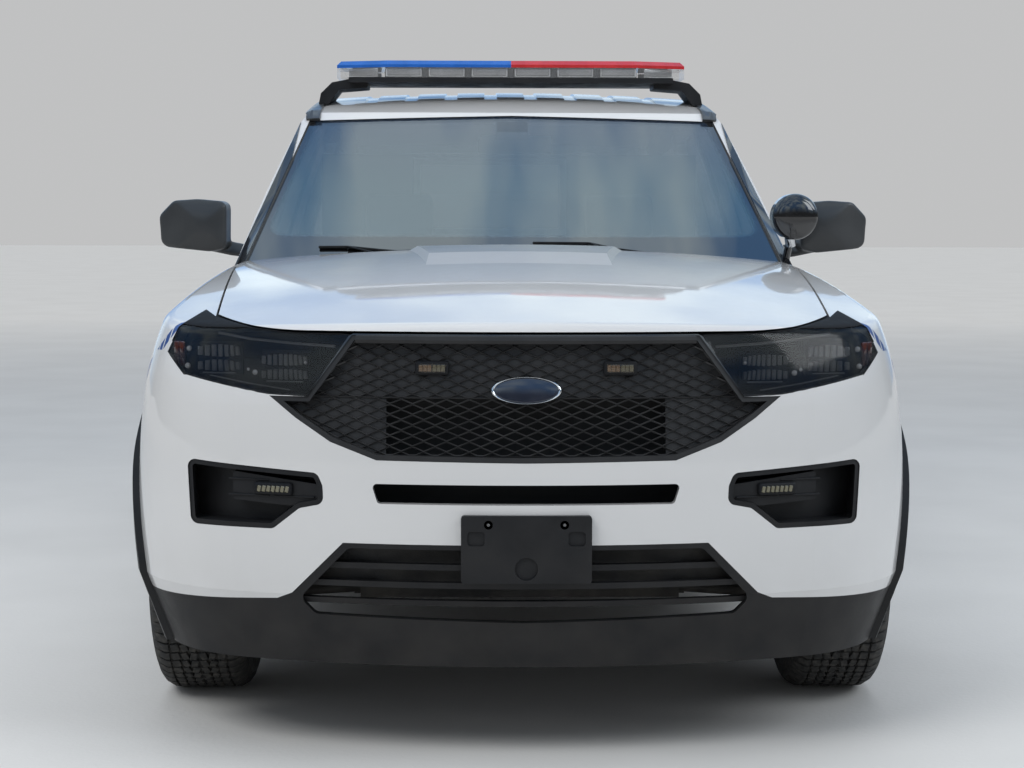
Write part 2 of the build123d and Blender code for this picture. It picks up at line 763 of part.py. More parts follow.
def mesh_cone(depth, low=700.0, high=1040.0):
    """Two points of the mesh's conical surface, as a radius from the nose axis and a height."""
    top_z = GRILLE_SHAPE[0][1]
    foot_z = GRILLE_SHAPE[-1][1]
    slope = (MESH_TOP_INSET - MESH_FOOT_INSET) / (top_z - foot_z)
    return [(NOSE_RADIUS - MESH_FOOT_INSET - depth - (z - foot_z) * slope, z) for z in (low, high)]


def cone_shell(outer, inner, start, sweep):
    low, high = mesh_cone(outer)
    inner_low, inner_high = mesh_cone(inner)
    face = make_face(Polyline(low, high, inner_high, inner_low, close=True))
    turned = revolve(Plane.XZ * face, Axis.Z, sweep)
    return Location((0, NOSE.end_centre, 0), (0, 0, start - 90)) * turned


def cone_profile(depth):
    low, high = mesh_cone(depth)
    return make_face(Polyline(low, high, (1500, high[1]), (1500, low[1]), close=True))


def make_grille_frame():
    """The grille's rim and the closed panel behind its mesh, open to the radiator."""
    outline = polygon(mirrored(GRILLE_SHAPE))
    inner = offset(outline, -12, kind=Kind.INTERSECTION)
    rim = along_y(outline - inner, *NOSE_REACH) & (lower_form(3) - lower_form(36))
    opening = Pos(0, sum(MESH_OPEN_Z) / 2) * Rectangle(2 * MESH_OPEN_HALF, MESH_OPEN_Z[1] - MESH_OPEN_Z[0])
    shell = cone_shell(MESH_THICKNESS, MESH_THICKNESS + BACKING_THICKNESS, -20, 40)
    backing = along_y(outline - opening, *NOSE_REACH) & shell
    border = offset(opening, MESH_MARGIN, kind=Kind.INTERSECTION) - opening
    plane = mesh_plane()
    seat = extrude(plane * Rectangle(1000, 600), 120, dir=(0, -1, 0))
    cone = revolve(Plane.XZ * cone_profile(MESH_THICKNESS), Axis.Z, 40)
    inside = Location((0, NOSE.end_centre, 0), (0, 0, -110)) * cone
    border = along_y(border, *NOSE_REACH) & seat & inside
    sheet = Rectangle(2 * (MESH_OPEN_HALF + MESH_MARGIN), MESH_OPEN_Z[1] - MESH_OPEN_Z[0] + 2 * MESH_MARGIN)
    behind = extrude(plane * sheet, 60, dir=(0, 1, 0))
    return (rim + backing + border) - behind


def mesh_plane():
    """The mesh's leaning plane, on the front of the opening that it fills."""
    low, high = mesh_cone(MESH_THICKNESS + BACKING_THICKNESS + 1, *MESH_OPEN_Z)
    drop = NOSE_RADIUS - sqrt(NOSE_RADIUS ** 2 - (MESH_OPEN_HALF + MESH_MARGIN) ** 2)
    foot_y = NOSE.end_centre - low[0] + drop
    head_y = NOSE.end_centre - high[0] + drop
    up = Vector(0, head_y - foot_y, MESH_OPEN_Z[1] - MESH_OPEN_Z[0])
    middle = ((foot_y + head_y) / 2, sum(MESH_OPEN_Z) / 2)
    return Plane(origin=(0, *middle), x_dir=(1, 0, 0), z_dir=Vector(1, 0, 0).cross(up))


def make_grille_mesh():
    """A leaning flat sheet pierced by diamonds, behind the frame's opening."""
    half_x = MESH_PITCH_X / 2 - MESH_BAR
    half_z = half_x * MESH_PITCH_Z / MESH_PITCH_X
    diamond = Polygon((half_x, 0), (0, half_z), (-half_x, 0), (0, -half_z), align=None)
    height = MESH_OPEN_Z[1] - MESH_OPEN_Z[0]
    columns = int((MESH_OPEN_HALF - half_x) / (MESH_PITCH_X / 2))
    rows = int((height / 2 - half_z) / (MESH_PITCH_Z / 2))
    holes = [
        Pos(column * MESH_PITCH_X / 2, row * MESH_PITCH_Z / 2) * diamond
        for column in range(-columns, columns + 1)
        for row in range(-rows, rows + 1)
        if (column + row) % 2 == 0
    ]
    sheet = Rectangle(2 * (MESH_OPEN_HALF + MESH_MARGIN), height + 2 * MESH_MARGIN) - holes
    return extrude(mesh_plane() * sheet, MESH_THICKNESS, dir=(0, 1, 0))


def make_headlamp():
    lamp = (F_OUT - lower_form(LAMP_DEPTH)) & LAMP_CUT & block((0, 1200), (-3000, -1950), (0, 1400))
    return lamp - HOOD_CLEAR


def make_fog_lamps():
    """A tray set into each bumper corner, with a lamp bar across it."""
    tray = (lower_form(3) - lower_form(75)) & FOG_CUT
    pocket = (lower_form(0) - lower_form(66)) & nose_cut(FOG_SHAPE, -FOG_RIM, FOG_ROUNDING - FOG_RIM)
    bar = (lower_form(14) - lower_form(70)) & nose_cut(FOG_BAR_SHAPE, 0, 6)
    return (tray - pocket) + bar


def make_plate_bracket():
    """The blank front plate's carrier, with two bolt holes and its centre and side recesses."""
    face = Pos(0, (PLATE_Z[0] + PLATE_Z[1]) / 2) * Rectangle(2 * PLATE_HALF, PLATE_Z[1] - PLATE_Z[0])
    face = fillet(face.vertices(), 8)
    bolts = [Pos(x, PLATE_BOLT_Z) * Circle(PLATE_BOLT_RADIUS) for x in (-PLATE_BOLT_HALF, PLATE_BOLT_HALF)]
    front = -HALF_LENGTH - PLATE_DEPTH
    plate = along_y(face - bolts, front, -HALF_LENGTH + 14) - lower_form(0)
    centre = along_y(Pos(0, 477) * Circle(27), front, front + 8)
    sides = [along_y(Pos(x, 548) * RectangleRounded(40, 34, 8), front, front + 6) for x in (-118, 118)]
    return plate - centre - sides


# Cabin shell
def screen_cut(grow=0.0):
    """The windscreen opening, through the front wall of the cabin only."""
    outline = along_y(polygon(mirrored(SCREEN_SHAPE), grow, 0), -1400, -100)
    behind = pane_form(SCREEN_FOOT_Y, SCREEN_FOOT_Z, HEADER_Y, HEADER_Z, SCREEN_RADIUS, SCREEN_CUT_DEPTH, -1)
    return outline - behind


def glass(cut):
    """A pane that fills an opening."""
    return (glasshouse_form(GLASS_INSET) - glasshouse_form(GLASS_INSET + GLASS_THICKNESS)) & cut


def side_window(points):
    return along_x(polygon(points, 0, WINDOW_ROUNDING), 500, 1100)


def door_region(name, grow=0.0):
    return along_x(polygon(DOOR_SHAPES[name], grow), 500, 1200)


def gate_region(grow=0.0):
    """The liftgate's outline in rear view, behind its hinge line."""
    outline = along_y(polygon(mirrored(GATE_SHAPE), grow), GATE_TOP_Y - grow, HALF_LENGTH + 200)
    return outline


def gate_window():
    return along_y(polygon(mirrored(GATE_WINDOW), 0, 30), 2200, HALF_LENGTH + 100) & block(
        (-900, 900), (2250, 2700), (1100, 1700)
    )


DOOR_APERTURES = Part() + [
    opening
    for name in DOOR_SHAPES
    for opening in (
        door_region(name, SHUT_GAP) - FRAME_OUT,
        door_region(name, -SEAL_OVERLAP) - CABIN,
    )
]
GATE_APERTURE = (gate_region(SHUT_GAP) - FRAME_OUT) + (gate_region(-SEAL_OVERLAP) - CABIN)


def make_door(name):
    """An outer skin, a narrower inner frame behind it, the window opening and the lower guard."""
    skin = (SHELL_OUT - SKIN_IN) & door_region(name)
    frame = (SKIN_IN - CABIN) & door_region(name, -DOOR_STEP)
    guard = (lower_form(-GUARD_RISE) - lower_form(4)) & along_x(guard_band(name), 500, 1200)
    window = side_window(WINDOW_SHAPES[name])
    arch = arch_form(REAR_AXLE_Y, ARCH_RADIUS + REAR_ARCH_MARGIN, 500, 1200)
    return (skin + frame + guard) - window - arch


def guard_band(name):
    points = DOOR_SHAPES[name]
    front = points[0][0]
    rear = points[-1][0]
    low, high = GUARD_Z
    return Polygon((front, low), (front, high), (rear, high), (rear, low), align=None)


def hinge_leaves(name):
    """Two thin leaves on the pillar, beside the front edge of one door."""
    front = DOOR_SHAPES[name][0][0]
    gap = door_region(name, SEAT_CLEARANCE + LEAF_THICKNESS) - door_region(name, SEAT_CLEARANCE)
    heights = Part() + [
        block((LEAF_INNER_X, 1000), (front - 40, front + 5), (z, z + LEAF_HEIGHT)) for z in LEAF_Z
    ]
    return (gap & heights) & lower_form(LEAF_DEPTH)


def body_half():
    """One half of the cabin wall with its doors, lid, lamps and bumper left out."""
    half = block((0, 1300), (-1400, HALF_LENGTH + 100), (0, 1900))
    skin_start = block((0, 1300), (FENDER_REAR_Y, HALF_LENGTH + 100), (0, 1900))
    post = block((700, 1300), (HINGE_POST_Y, FENDER_REAR_Y), (0, 1120)) & lower_form(0, POST_DEPTH)
    hinge = (FRAME_OUT - CABIN) & post
    wall = (WALL & half & skin_start) + hinge
    wall = wall - DOOR_APERTURES - GATE_APERTURE - WHEEL_SPACES - SCREEN_OPENING
    return Part() + [wall] + [hinge_leaves(name) for name in DOOR_SHAPES]


SCREEN_OPENING = screen_cut()


def roof_region():
    return block((-ROOF_SEAM, ROOF_SEAM), (-420, GATE_TOP_Y - SHUT_GAP), (1570, 1900))


def rear_bumper_region():
    """The lower rear skin, from behind the wheels."""
    return block((-1300, 1300), (REAR_AXLE_Y + 300, HALF_LENGTH + 100), (0, REAR_BUMPER_TOP_Z))


def tail_lamp_region():
    return along_x(polygon(TAIL_LAMP_SHAPE), 600, 1200)


def make_body_side():
    lamp = tail_lamp_region() - FRAME_OUT
    bumper = rear_bumper_region() - FRAME_OUT
    quarter = side_window(QUARTER_WINDOW)
    return body_half() - roof_region() - lamp - bumper - quarter - tail_pipe_notches()


def make_roof():
    roof = (WALL & roof_region()) - SCREEN_OPENING - GATE_APERTURE
    for index in range(ROOF_GROOVES):
        x = (index - (ROOF_GROOVES - 1) / 2) * ROOF_GROOVE_PITCH
        groove = block((x - ROOF_GROOVE_WIDTH / 2, x + ROOF_GROOVE_WIDTH / 2), ROOF_GROOVE_Y, (1500, 1900))
        roof -= groove - glasshouse_form(ROOF_GROOVE_DEPTH)
    end = GATE_TOP_Y - SHUT_GAP
    reach = block(GATE_LEAF_X, (end - 5, GATE_TOP_Y - SEAT_CLEARANCE), (1570, 1900))
    return roof + both_sides((G_OUT - glasshouse_form(SKIN_HIGH)) & reach)


def tail_pipe_notches():
    """Notches in the rear wall's foot that clear both tail pipes."""
    radius = TAIL_PIPE_RADIUS + TAIL_PIPE_CLEARANCE
    x = TAIL_PIPE_X
    slot = block((x - radius, x + radius), (2200, 2600), (0, TAIL_PIPE_Z))
    return both_sides(rod((x, 2200, TAIL_PIPE_Z), (x, 2600, TAIL_PIPE_Z), radius) + slot)


def make_rear_bumper():
    skin = ((SHELL_OUT - FRAME_OUT) & rear_bumper_region()) - tail_pipe_notches()
    pad = (lower_form(-PLATE_DEPTH) - lower_form(0)) & block((-620, 620), (2300, 2700), (556, 640))
    return (skin + pad) - WHEEL_SPACES


def make_tail_lamps():
    lamp = (SHELL_OUT - FRAME_OUT) & tail_lamp_region()
    return both_sides(lamp - gate_region(SHUT_GAP))


def make_liftgate():
    skin = (SHELL_OUT - SKIN_IN) & gate_region()
    frame = (SKIN_IN - CABIN) & gate_region(-DOOR_STEP)
    recess = block((-170, 170), (REAR_PLATE_Y, 2700), (785, 925))
    bolts = [
        rod((x, 2300, REAR_PLATE_BOLT_Z), (x, 2700, REAR_PLATE_BOLT_Z), PLATE_BOLT_RADIUS)
        for x in (-PLATE_BOLT_HALF, PLATE_BOLT_HALF)
    ]
    return (skin + frame) - gate_window() - recess - bolts


def make_cowl():
    """The black panel under the windscreen's foot, with the hood's two hinge leaves."""
    span = block((-COWL_HALF, COWL_HALF), (HOOD_REAR_Y - 20, FENDER_REAR_Y - 6), (1000, 1400))
    layer = lower_form(COWL_DROP) - lower_form(COWL_DEPTH)
    panel = (layer & span) - hood_region(SHUT_GAP) - glasshouse_form(GLASS_INSET)
    reach = hood_region(SHUT_GAP + 2) - hood_region(SEAT_CLEARANCE)
    leaf = reach & layer & block(HOOD_LEAF_X, (-1000, FENDER_REAR_Y - 6), (1000, 1400))
    return panel + both_sides(leaf)


def make_floor():
    """Floor, firewall, tunnel and the rear wheel tubs."""
    inner = lower_form(WALL_LOW)
    slab = block((-1200, 1200), (HINGE_POST_Y, STEP_Y), (FLOOR_Z, FLOOR_Z + FLOOR_THICKNESS)) & inner
    riser = block((-1200, 1200), (STEP_Y - 30, STEP_Y), (FLOOR_Z, REAR_FLOOR_Z + FLOOR_THICKNESS)) & inner
    rear_top = REAR_FLOOR_Z + FLOOR_THICKNESS
    rear_slab = block((-1200, 1200), (STEP_Y - 30, HALF_LENGTH), (REAR_FLOOR_Z, rear_top)) & inner
    rail = block(RAIL_X, (STEP_Y, REAR_RAIL_END_Y), (RAIL_LOW_Z, REAR_FLOOR_Z))
    wall = block((-1200, 1200), (HINGE_POST_Y, FIREWALL_Y), (FLOOR_Z, 1400)) & inner & lower_form(COWL_DEPTH)
    tunnel_y = (FIREWALL_Y, PARTITION_Y[0] - SHUT_GAP)
    tunnel = block((-TUNNEL_HALF, TUNNEL_HALF), tunnel_y, (FLOOR_Z, TUNNEL_TOP_Z))
    tubs = Part() + [
        arch_form(REAR_AXLE_Y, ARCH_RADIUS + 20, REAR_ARCH_INNER - 20, 1100),
        arch_form(REAR_AXLE_Y, ARCH_RADIUS + 20, -1100, -REAR_ARCH_INNER + 20),
    ]
    tubs = tubs & inner & block((-1200, 1200), (500, 2400), (RAIL_LOW_Z, 900))
    arm_slot = block(
        (REAR_ARCH_INNER - 40, REAR_ARCH_INNER + 20),
        (REAR_AXLE_Y - ARM_SLOT_HALF, REAR_AXLE_Y + ARM_SLOT_HALF),
        (UPPER_ARM_Z - 24, UPPER_ARM_Z + 24),
    )
    pieces = [slab, riser, rear_slab, both_sides(rail), wall, tunnel, tubs, make_fuel_tank()]
    return (Part() + pieces) - WHEEL_SPACES - both_sides(arm_slot)


def make_front_frame():
    """Two rails, the bumper beam, the radiator carrier and the front wheelhouse liners."""
    rail_z = (RAIL_LOW_Z, RAIL_LOW_Z + RAIL_HEIGHT)
    rail = block(RAIL_X, (FRONT_RAIL_END_Y, HINGE_POST_Y), rail_z)
    beam = block((-620, 620), (-2440, -2400), rail_z) & lower_form(FENDER_WALL + 15)
    carrier = block((-495, 495), (-2340, -2270), (RAIL_LOW_Z - 20, 868))
    carrier -= block((-RADIATOR_HALF, RADIATOR_HALF), (-2400, -2200), RADIATOR_Z)
    liner = arch_form(FRONT_AXLE_Y, ARCH_RADIUS + 8, RAIL_CENTRE + 20, 1100) & lower_form(FENDER_WALL + 1)
    liner = liner & block((0, 1200), (-2200, -1150), (RAIL_LOW_Z, 900))
    side = rail + liner
    return (Part() + [side, mirror_x(side), beam, carrier]) - WHEEL_SPACES


def make_radiator():
    return block((-RADIATOR_HALF, RADIATOR_HALF), (-2330, -2280), RADIATOR_Z)


def make_engine():
    body = block((-330, 330), (-2120, -1420), (SUBFRAME_Z[1], 850))
    return chamfer(body.edges().filter_by(Axis.Y), 40)


def suspension(y):
    """Cross member, lower and upper arms out to the ball joints of one axle's left side."""
    member = block((0, 430), (y - 180, y + 180), SUBFRAME_Z)
    arms = [rod((400, y + shift, ARM_Z + 50), (KINGPIN_HALF, y, ARM_Z), 16) for shift in (-130, 130)]
    rail_face = RAIL_CENTRE + RAIL_WIDTH / 2
    upper_joint = (KINGPIN_HALF, y, UPPER_ARM_Z)
    uppers = [rod((rail_face + 6, y + shift, UPPER_ARM_Z), upper_joint, 12) for shift in (-90, 90)]
    plate = block((rail_face, rail_face + 12), (y - 130, y + 130), (UPPER_ARM_Z - 20, UPPER_ARM_Z + 20))
    joints = [
        Location((KINGPIN_HALF, y, ARM_Z)) * Cylinder(28, 2 * ARM_JOINT_HALF),
        Location((KINGPIN_HALF, y, UPPER_ARM_Z)) * Cylinder(24, 24),
    ]
    post = block((RAIL_CENTRE - RAIL_WIDTH / 2, 450), (y - 120, y + 120), (SUBFRAME_Z[0], RAIL_LOW_Z))
    return Part() + [member, post, plate] + arms + uppers + joints


def upright(y):
    """The wheel carrier with its spindle and brake caliper, on the left side."""
    low = ARM_Z + ARM_JOINT_HALF + SEAT_CLEARANCE
    high = UPPER_ARM_Z - 12 - SEAT_CLEARANCE
    post = block((KINGPIN_HALF - 30, KINGPIN_HALF + 22), (y - 34, y + 34), (low, high))
    spindle = rod((KINGPIN_HALF, y, AXLE_Z), (WHEEL_X + 8, y, AXLE_Z), SPINDLE_RADIUS)
    bracket = block((KINGPIN_HALF - 30, KINGPIN_HALF + 6), (y, y + 150), (AXLE_Z - 50, AXLE_Z + 50))
    return Part() + [post, spindle, bracket]


def make_front_subframe():
    return both_sides(suspension(FRONT_AXLE_Y))


def make_rear_subframe():
    half = suspension(REAR_AXLE_Y) + upright(REAR_AXLE_Y)
    pins = [
        Location((KINGPIN_HALF, REAR_AXLE_Y, z)) * Cylinder(15, 40)
        for z in (ARM_Z + ARM_JOINT_HALF, UPPER_ARM_Z - 12)
    ]
    return both_sides(Part() + [half] + pins)


def make_tyre():
    half = TYRE_WIDTH / 2
    outer = TYRE_DIAMETER / 2
    bead = RIM_DIAMETER / 2 + SEAT_CLEARANCE
    points = [
        (RIM_WIDTH / 2 - 12, bead),
        (RIM_WIDTH / 2 - 6, bead + 16),
        (half, (outer + bead) / 2 + 4),
        (half - 17, outer - 13),
        (half - 40, outer),
    ]
    edges = [
        Line(points[0], points[1]),
        ThreePointArc(points[1], points[2], points[3]),
        Line(points[3], points[4]),
        Line(points[4], (-points[4][0], points[4][1])),
        Line((-points[4][0], points[4][1]), (-points[3][0], points[3][1])),
        ThreePointArc(*[(-x, r) for x, r in reversed(points[1:4])]),
        Line((-points[1][0], points[1][1]), (-points[0][0], points[0][1])),
        Line((-points[0][0], points[0][1]), points[0]),
    ]
    profile = Plane.XZ * make_face(edges)
    return revolve(profile, Axis.X)


def make_rim():
    """A pressed wheel: barrel, dished disc with vent slots, hub and brake disc, outer face to +X."""
    bead = RIM_DIAMETER / 2
    half = RIM_WIDTH / 2
    flange = bead + 12
    barrel_in = bead - 13
    disc_x = 34.0
    bore = SPINDLE_RADIUS + SEAT_CLEARANCE
    barrel = make_face(Polyline(
        (-half, barrel_in), (-half, flange), (-half + 7, flange), (-half + 10, bead), (half - 10, bead),
        (half - 7, flange), (half, flange), (half, barrel_in), close=True,
    ))
    dish = make_face(Polyline(
        (disc_x + 8, 0), (disc_x + 24, 0), (disc_x + 24, 62), (disc_x + 4, 88), (disc_x + 26, 140),
        (disc_x + 6, barrel_in + 3), (disc_x - 8, barrel_in + 3), (disc_x + 12, 138), (disc_x - 10, 84),
        (disc_x + 8, 58),
        close=True,
    ))
    hub = make_face(Polyline(
        (-6, bore), (-6, 72), (disc_x + 10, 72), (disc_x + 10, bore), close=True,
    ))
    rotor = make_face(Polyline(
        (-6, 60), (-6, 165), (-32, 165), (-32, 100), (-18, 92), (-18, 60), close=True,
    ))
    shape = Part() + [revolve(Plane.XZ * face, Axis.X) for face in (barrel, dish, hub)]
    slots = [
        Rot(360 / RIM_SLOTS * index, 0, 0) * Location((disc_x, 0, 172)) * Box(120, 52, 34)
        for index in range(RIM_SLOTS)
    ]
    return shape - slots


def make_seat(x):
    cushion = fillet(block((x - 250, x + 250), (-440, 60), (560, 700)).edges(), 40)
    lean = Location((x, 15, 665), (-12, 0, 0))
    back = lean * Location((0, 60, 280)) * fillet(Box(480, 120, 560).edges(), 45)
    head = lean * Location((0, 62, 660)) * fillet(Box(260, 90, 170).edges(), 35)
    base = block((x - 190, x + 190), (-400, 20), (FLOOR_Z + FLOOR_THICKNESS, 600))
    stalks = [
        Location((x, 15, 665), (-12, 0, 0)) * Location((dx, 62, 560)) * Cylinder(7, 120) for dx in (-60, 60)
    ]
    return Part() + [cushion, back, head, base] + stalks


def make_rear_bench():
    cushion = block((-620, 620), (440, 900), (FLOOR_Z + FLOOR_THICKNESS, 640))
    cushion = fillet(cushion.edges().filter_by(Axis.X), 50)
    back = fillet(Box(1240, 110, 560).edges().filter_by(Axis.X), 40)
    back = Location((0, 840, 650), (-14, 0, 0)) * Location((0, 50, 270)) * back
    return cushion + back


def make_partition():
    """The screen behind the front seats: lower panel, posts, top rail and a clear upper window."""
    plate_z = (FLOOR_Z + FLOOR_THICKNESS, PARTITION_TOP_Z)
    plate = block((-PARTITION_HALF, PARTITION_HALF), PARTITION_Y, plate_z)
    window = block(PARTITION_WINDOW_X, (200, 400), PARTITION_WINDOW_Z)
    return plate - window


def make_dashboard():
    points = [(-960, 640), (-960, 1105), (-760, 1128), (-580, 1085), (-545, 960), (-600, 700)]
    profile = Polygon(*points, align=None)
    body = along_x(profile, -800, 800) & lower_form(WALL_LOW + 12)
    start = Vector(*COLUMN_START)
    end = Vector(*WHEEL_HUB)
    axis = end - start
    column_end = end - axis.normalized() * (WHEEL_HUB_HEIGHT / 2 + SEAT_CLEARANCE)
    column = rod(COLUMN_START, tuple(column_end), 32)
    return body + column


def steering_plane():
    start = Vector(*COLUMN_START)
    axis = Vector(*WHEEL_HUB) - start
    return Plane(origin=WHEEL_HUB, x_dir=(1, 0, 0), z_dir=axis)


def make_steering_wheel():
    plane = steering_plane()
    torus = plane.location * Torus(180, 15)
    hub = plane.location * Cylinder(60, WHEEL_HUB_HEIGHT)
    spoke = Pos(110, 0, 0) * Box(150, 34, 14)
    spokes = [plane.location * (Rot(0, 0, angle) * spoke) for angle in (0, 180, 270)]
    return Part() + [torus, hub] + spokes


def make_mirror():
    """A door mirror: a rounded housing with a glass recess, on a short arm from the door's sail."""
    front, rear = MIRROR_Y
    housing = along_y(polygon(MIRROR_SHAPE, 0, 24), front, rear)
    x, z = MIRROR_MIDDLE
    plan_turn = Location((x, rear + 90, z)) * Cylinder(rear + 90 - front, 400)
    side_turn = Location((x, rear + 60, z), (0, 90, 0)) * Cylinder(rear + 60 - front, 500)
    housing = housing & plan_turn & side_turn
    recess = along_y(polygon(MIRROR_SHAPE, -MIRROR_RIM, 16), rear - 14, rear + 20)
    arm = along_y(polygon(MIRROR_ARM_SHAPE, 0, 8), *MIRROR_ARM_Y) & door_region("front")
    return ((housing - recess) + arm) - SHELL_OUT


def make_spotlight():
    """A post-mounted lamp on the left windscreen pillar."""
    dome = Location((875, -865, 1302), (90, 0, 0)) * Cylinder(72, 96)
    dome = fillet(dome.edges(), 22)
    stem = rod((868, -850, 1240), (856, -812, 1150), 12)
    return (dome + stem) - SHELL_OUT


def make_light_bar_base():
    """A flat tray on two bent feet that reach down to the roof's edges."""
    base = block((-BAR_BASE_HALF, BAR_BASE_HALF), BAR_Y, (BAR_BASE_Z, BAR_LENS_Z))
    foot = along_y(polygon(BAR_FOOT_SHAPE, 0, 5), *BAR_FOOT_Y) - SHELL_OUT
    return Part() + [base, foot, mirror_x(foot)]


def bar_outline():
    front, rear = BAR_Y
    tip = [(430, front), (BAR_HALF, front + 60), (BAR_HALF, rear - 60), (430, rear)]
    return polygon([(0, front)] + tip + [(0, rear)])


def make_light_bar_lens():
    half = bar_outline()
    whole = along_z(half, BAR_LENS_Z, BAR_COLOUR_Z)
    return whole + mirror_x(whole)


def make_light_bar_cap(side):
    cap = along_z(bar_outline(), BAR_COLOUR_Z, BAR_TOP_Z)
    cap = chamfer(cap.edges().group_by(Axis.Z)[-1].filter_by(lambda e: e.center().X > 20), 14)
    return cap if side > 0 else mirror_x(cap)


def make_cladding():
    """Arch rings and the sill strip of one side."""
    band = lower_form(-GUARD_RISE - 2) - lower_form(0)
    ring_radius = ARCH_RADIUS + GUARD_WIDTH
    rings = Part() + [arch_form(y, ring_radius, 500, 1200) for y in (FRONT_AXLE_Y, REAR_AXLE_Y)]
    sill = block((500, 1200), (FRONT_AXLE_Y + 300, REAR_AXLE_Y - 300), (0, DOOR_LOW_Z - SHUT_GAP))
    keep = (rings + sill) & block((500, 1200), (-2120, 1890), (0, 1200))
    clad = (band & keep) - WHEEL_SPACES
    door_zone = block((500, 1200), (-1250, 1100), (DOOR_LOW_Z - SHUT_GAP, 1200))
    return clad - door_zone


def make_exhaust():
    pipe = rod((-200, -1000, 240), (-200, 1775, 240), 28)
    box = fillet(block((-520, 520), (1760, 1980), (190, 330)).edges().filter_by(Axis.X), 40)
    tails = [
        rod((x, 1900, TAIL_PIPE_Z), (x, 2490, TAIL_PIPE_Z), TAIL_PIPE_RADIUS)
        for x in (-TAIL_PIPE_X, TAIL_PIPE_X)
    ]
    arms = block((-600, 600), (1840, 1920), (240, 300))
    hangers = [block((-215, -185), (y, y + 30), (250, FLOOR_Z)) for y in (-700, 300)]
    straps = [block((x - 20, x + 20), (1850, 1880), (300, RAIL_LOW_Z)) for x in (-RAIL_CENTRE, RAIL_CENTRE)]
    return Part() + [pipe, box, arms] + straps + tails + hangers


def make_fuel_tank():
    return fillet(block((80, 620), (250, 860), (200, FLOOR_Z)).edges().filter_by(Axis.Z), 60)


def build():
    bumper, valance = make_bumper_and_valance()
    fender = make_fender()
    headlamp = make_headlamp()
    body = make_body_side()
    parts = {
        "hood": make_hood(),
        "fender_left": fender,
        "fender_right": mirror_x(fender),
        "headlamp_left": headlamp,
        "headlamp_right": mirror_x(headlamp),
        "front_bumper": bumper,
        "front_valance": valance,
        "grille_frame": make_grille_frame(),
        "grille_mesh": make_grille_mesh(),
        "fog_lamps": make_fog_lamps(),
        "plate_bracket": make_plate_bracket(),
        "body_side_left": body,
        "body_side_right": mirror_x(body),
        "roof_panel": make_roof(),
        "cowl_panel": make_cowl(),
        "windscreen": glass(SCREEN_OPENING),
        "quarter_glass": both_sides(glass(side_window(QUARTER_WINDOW))),
        "rear_bumper": make_rear_bumper(),
        "tail_lamps": make_tail_lamps(),
        "liftgate": make_liftgate(),
        "liftgate_glass": glass(gate_window()),
        "side_cladding": both_sides(make_cladding()),
        "floor_pan": make_floor(),
        "front_frame": make_front_frame(),
        "radiator": make_radiator(),
        "engine": make_engine(),
        "front_subframe": make_front_subframe(),
        "rear_subframe": make_rear_subframe(),
        "exhaust": make_exhaust(),
        "dashboard": make_dashboard(),
        "steering_wheel": make_steering_wheel(),
        "front_seats": make_seat(400) + make_seat(-400),
        "rear_bench": make_rear_bench(),
        "partition": make_partition(),
        "spotlight": make_spotlight(),
        "light_bar_base": make_light_bar_base(),
        "light_bar_lens": make_light_bar_lens(),
        "light_bar_red": make_light_bar_cap(1),
        "light_bar_blue": make_light_bar_cap(-1),
    }
    for name in DOOR_SHAPES:
        door = make_door(name)
        pane = glass(side_window(WINDOW_SHAPES[name]))
        parts[f"{name}_door_left"] = door
        parts[f"{name}_door_right"] = mirror_x(door)
        parts[f"{name}_door_glass_left"] = pane
        parts[f"{name}_door_glass_right"] = mirror_x(pane)
    mirror_shape = make_mirror()
    parts["mirror_left"] = mirror_shape
    parts["mirror_right"] = mirror_x(mirror_shape)
    knuckle = upright(FRONT_AXLE_Y)
    parts["knuckle_left"] = knuckle
    parts["knuckle_right"] = mirror_x(knuckle)
    tyre = make_tyre()
    rim = make_rim()
    for end, y in (("front", FRONT_AXLE_Y), ("rear", REAR_AXLE_Y)):
        for side, sign in (("left", 1), ("right", -1)):
            place = Location((sign * WHEEL_X, y, AXLE_Z))
            parts[f"tyre_{end}_{side}"] = place * tyre
            parts[f"rim_{end}_{side}"] = place * (rim if sign > 0 else mirror_x(rim))
    return parts


def main():
    os.makedirs("parts", exist_ok=True)
    for name, shape in build().items():
        export_step(shape, f"parts/{name}.step")


if __name__ == "__main__":
    main()
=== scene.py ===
"""Looks of the police patrol car: finishes, tyres, lamps, grille mesh, glass details and cabin."""
import math

import bpy
from mathutils import Matrix, Vector
from mathutils.bvhtree import BVHTree


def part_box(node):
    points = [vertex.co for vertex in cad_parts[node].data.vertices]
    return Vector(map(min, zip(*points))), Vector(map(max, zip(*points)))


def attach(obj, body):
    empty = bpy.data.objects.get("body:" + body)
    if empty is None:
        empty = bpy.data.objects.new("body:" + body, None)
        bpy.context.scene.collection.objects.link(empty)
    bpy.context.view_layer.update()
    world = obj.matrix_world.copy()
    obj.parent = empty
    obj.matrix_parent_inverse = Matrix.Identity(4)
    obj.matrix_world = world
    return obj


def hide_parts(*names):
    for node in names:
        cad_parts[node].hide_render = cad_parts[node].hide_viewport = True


bl_info = {
    "name": "Patrol car looks",
    "version": (1, 0, 0),
    "blender": (4, 5, 0),
    "location": "3D View > Sidebar > Patrol car",
    "description": "Models the visible detail of a patrol car around its packed frame",
    "category": "Object",
}

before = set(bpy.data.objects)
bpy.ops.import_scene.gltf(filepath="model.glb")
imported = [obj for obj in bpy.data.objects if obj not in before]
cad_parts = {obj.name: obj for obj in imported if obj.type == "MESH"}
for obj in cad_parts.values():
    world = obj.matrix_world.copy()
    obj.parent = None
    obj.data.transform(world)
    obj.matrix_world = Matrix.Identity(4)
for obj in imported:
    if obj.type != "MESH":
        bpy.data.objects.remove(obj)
# Materials by name, and the CAD nodes' surfaces that rays have met
FINISHES = {}
SURFACES = {}

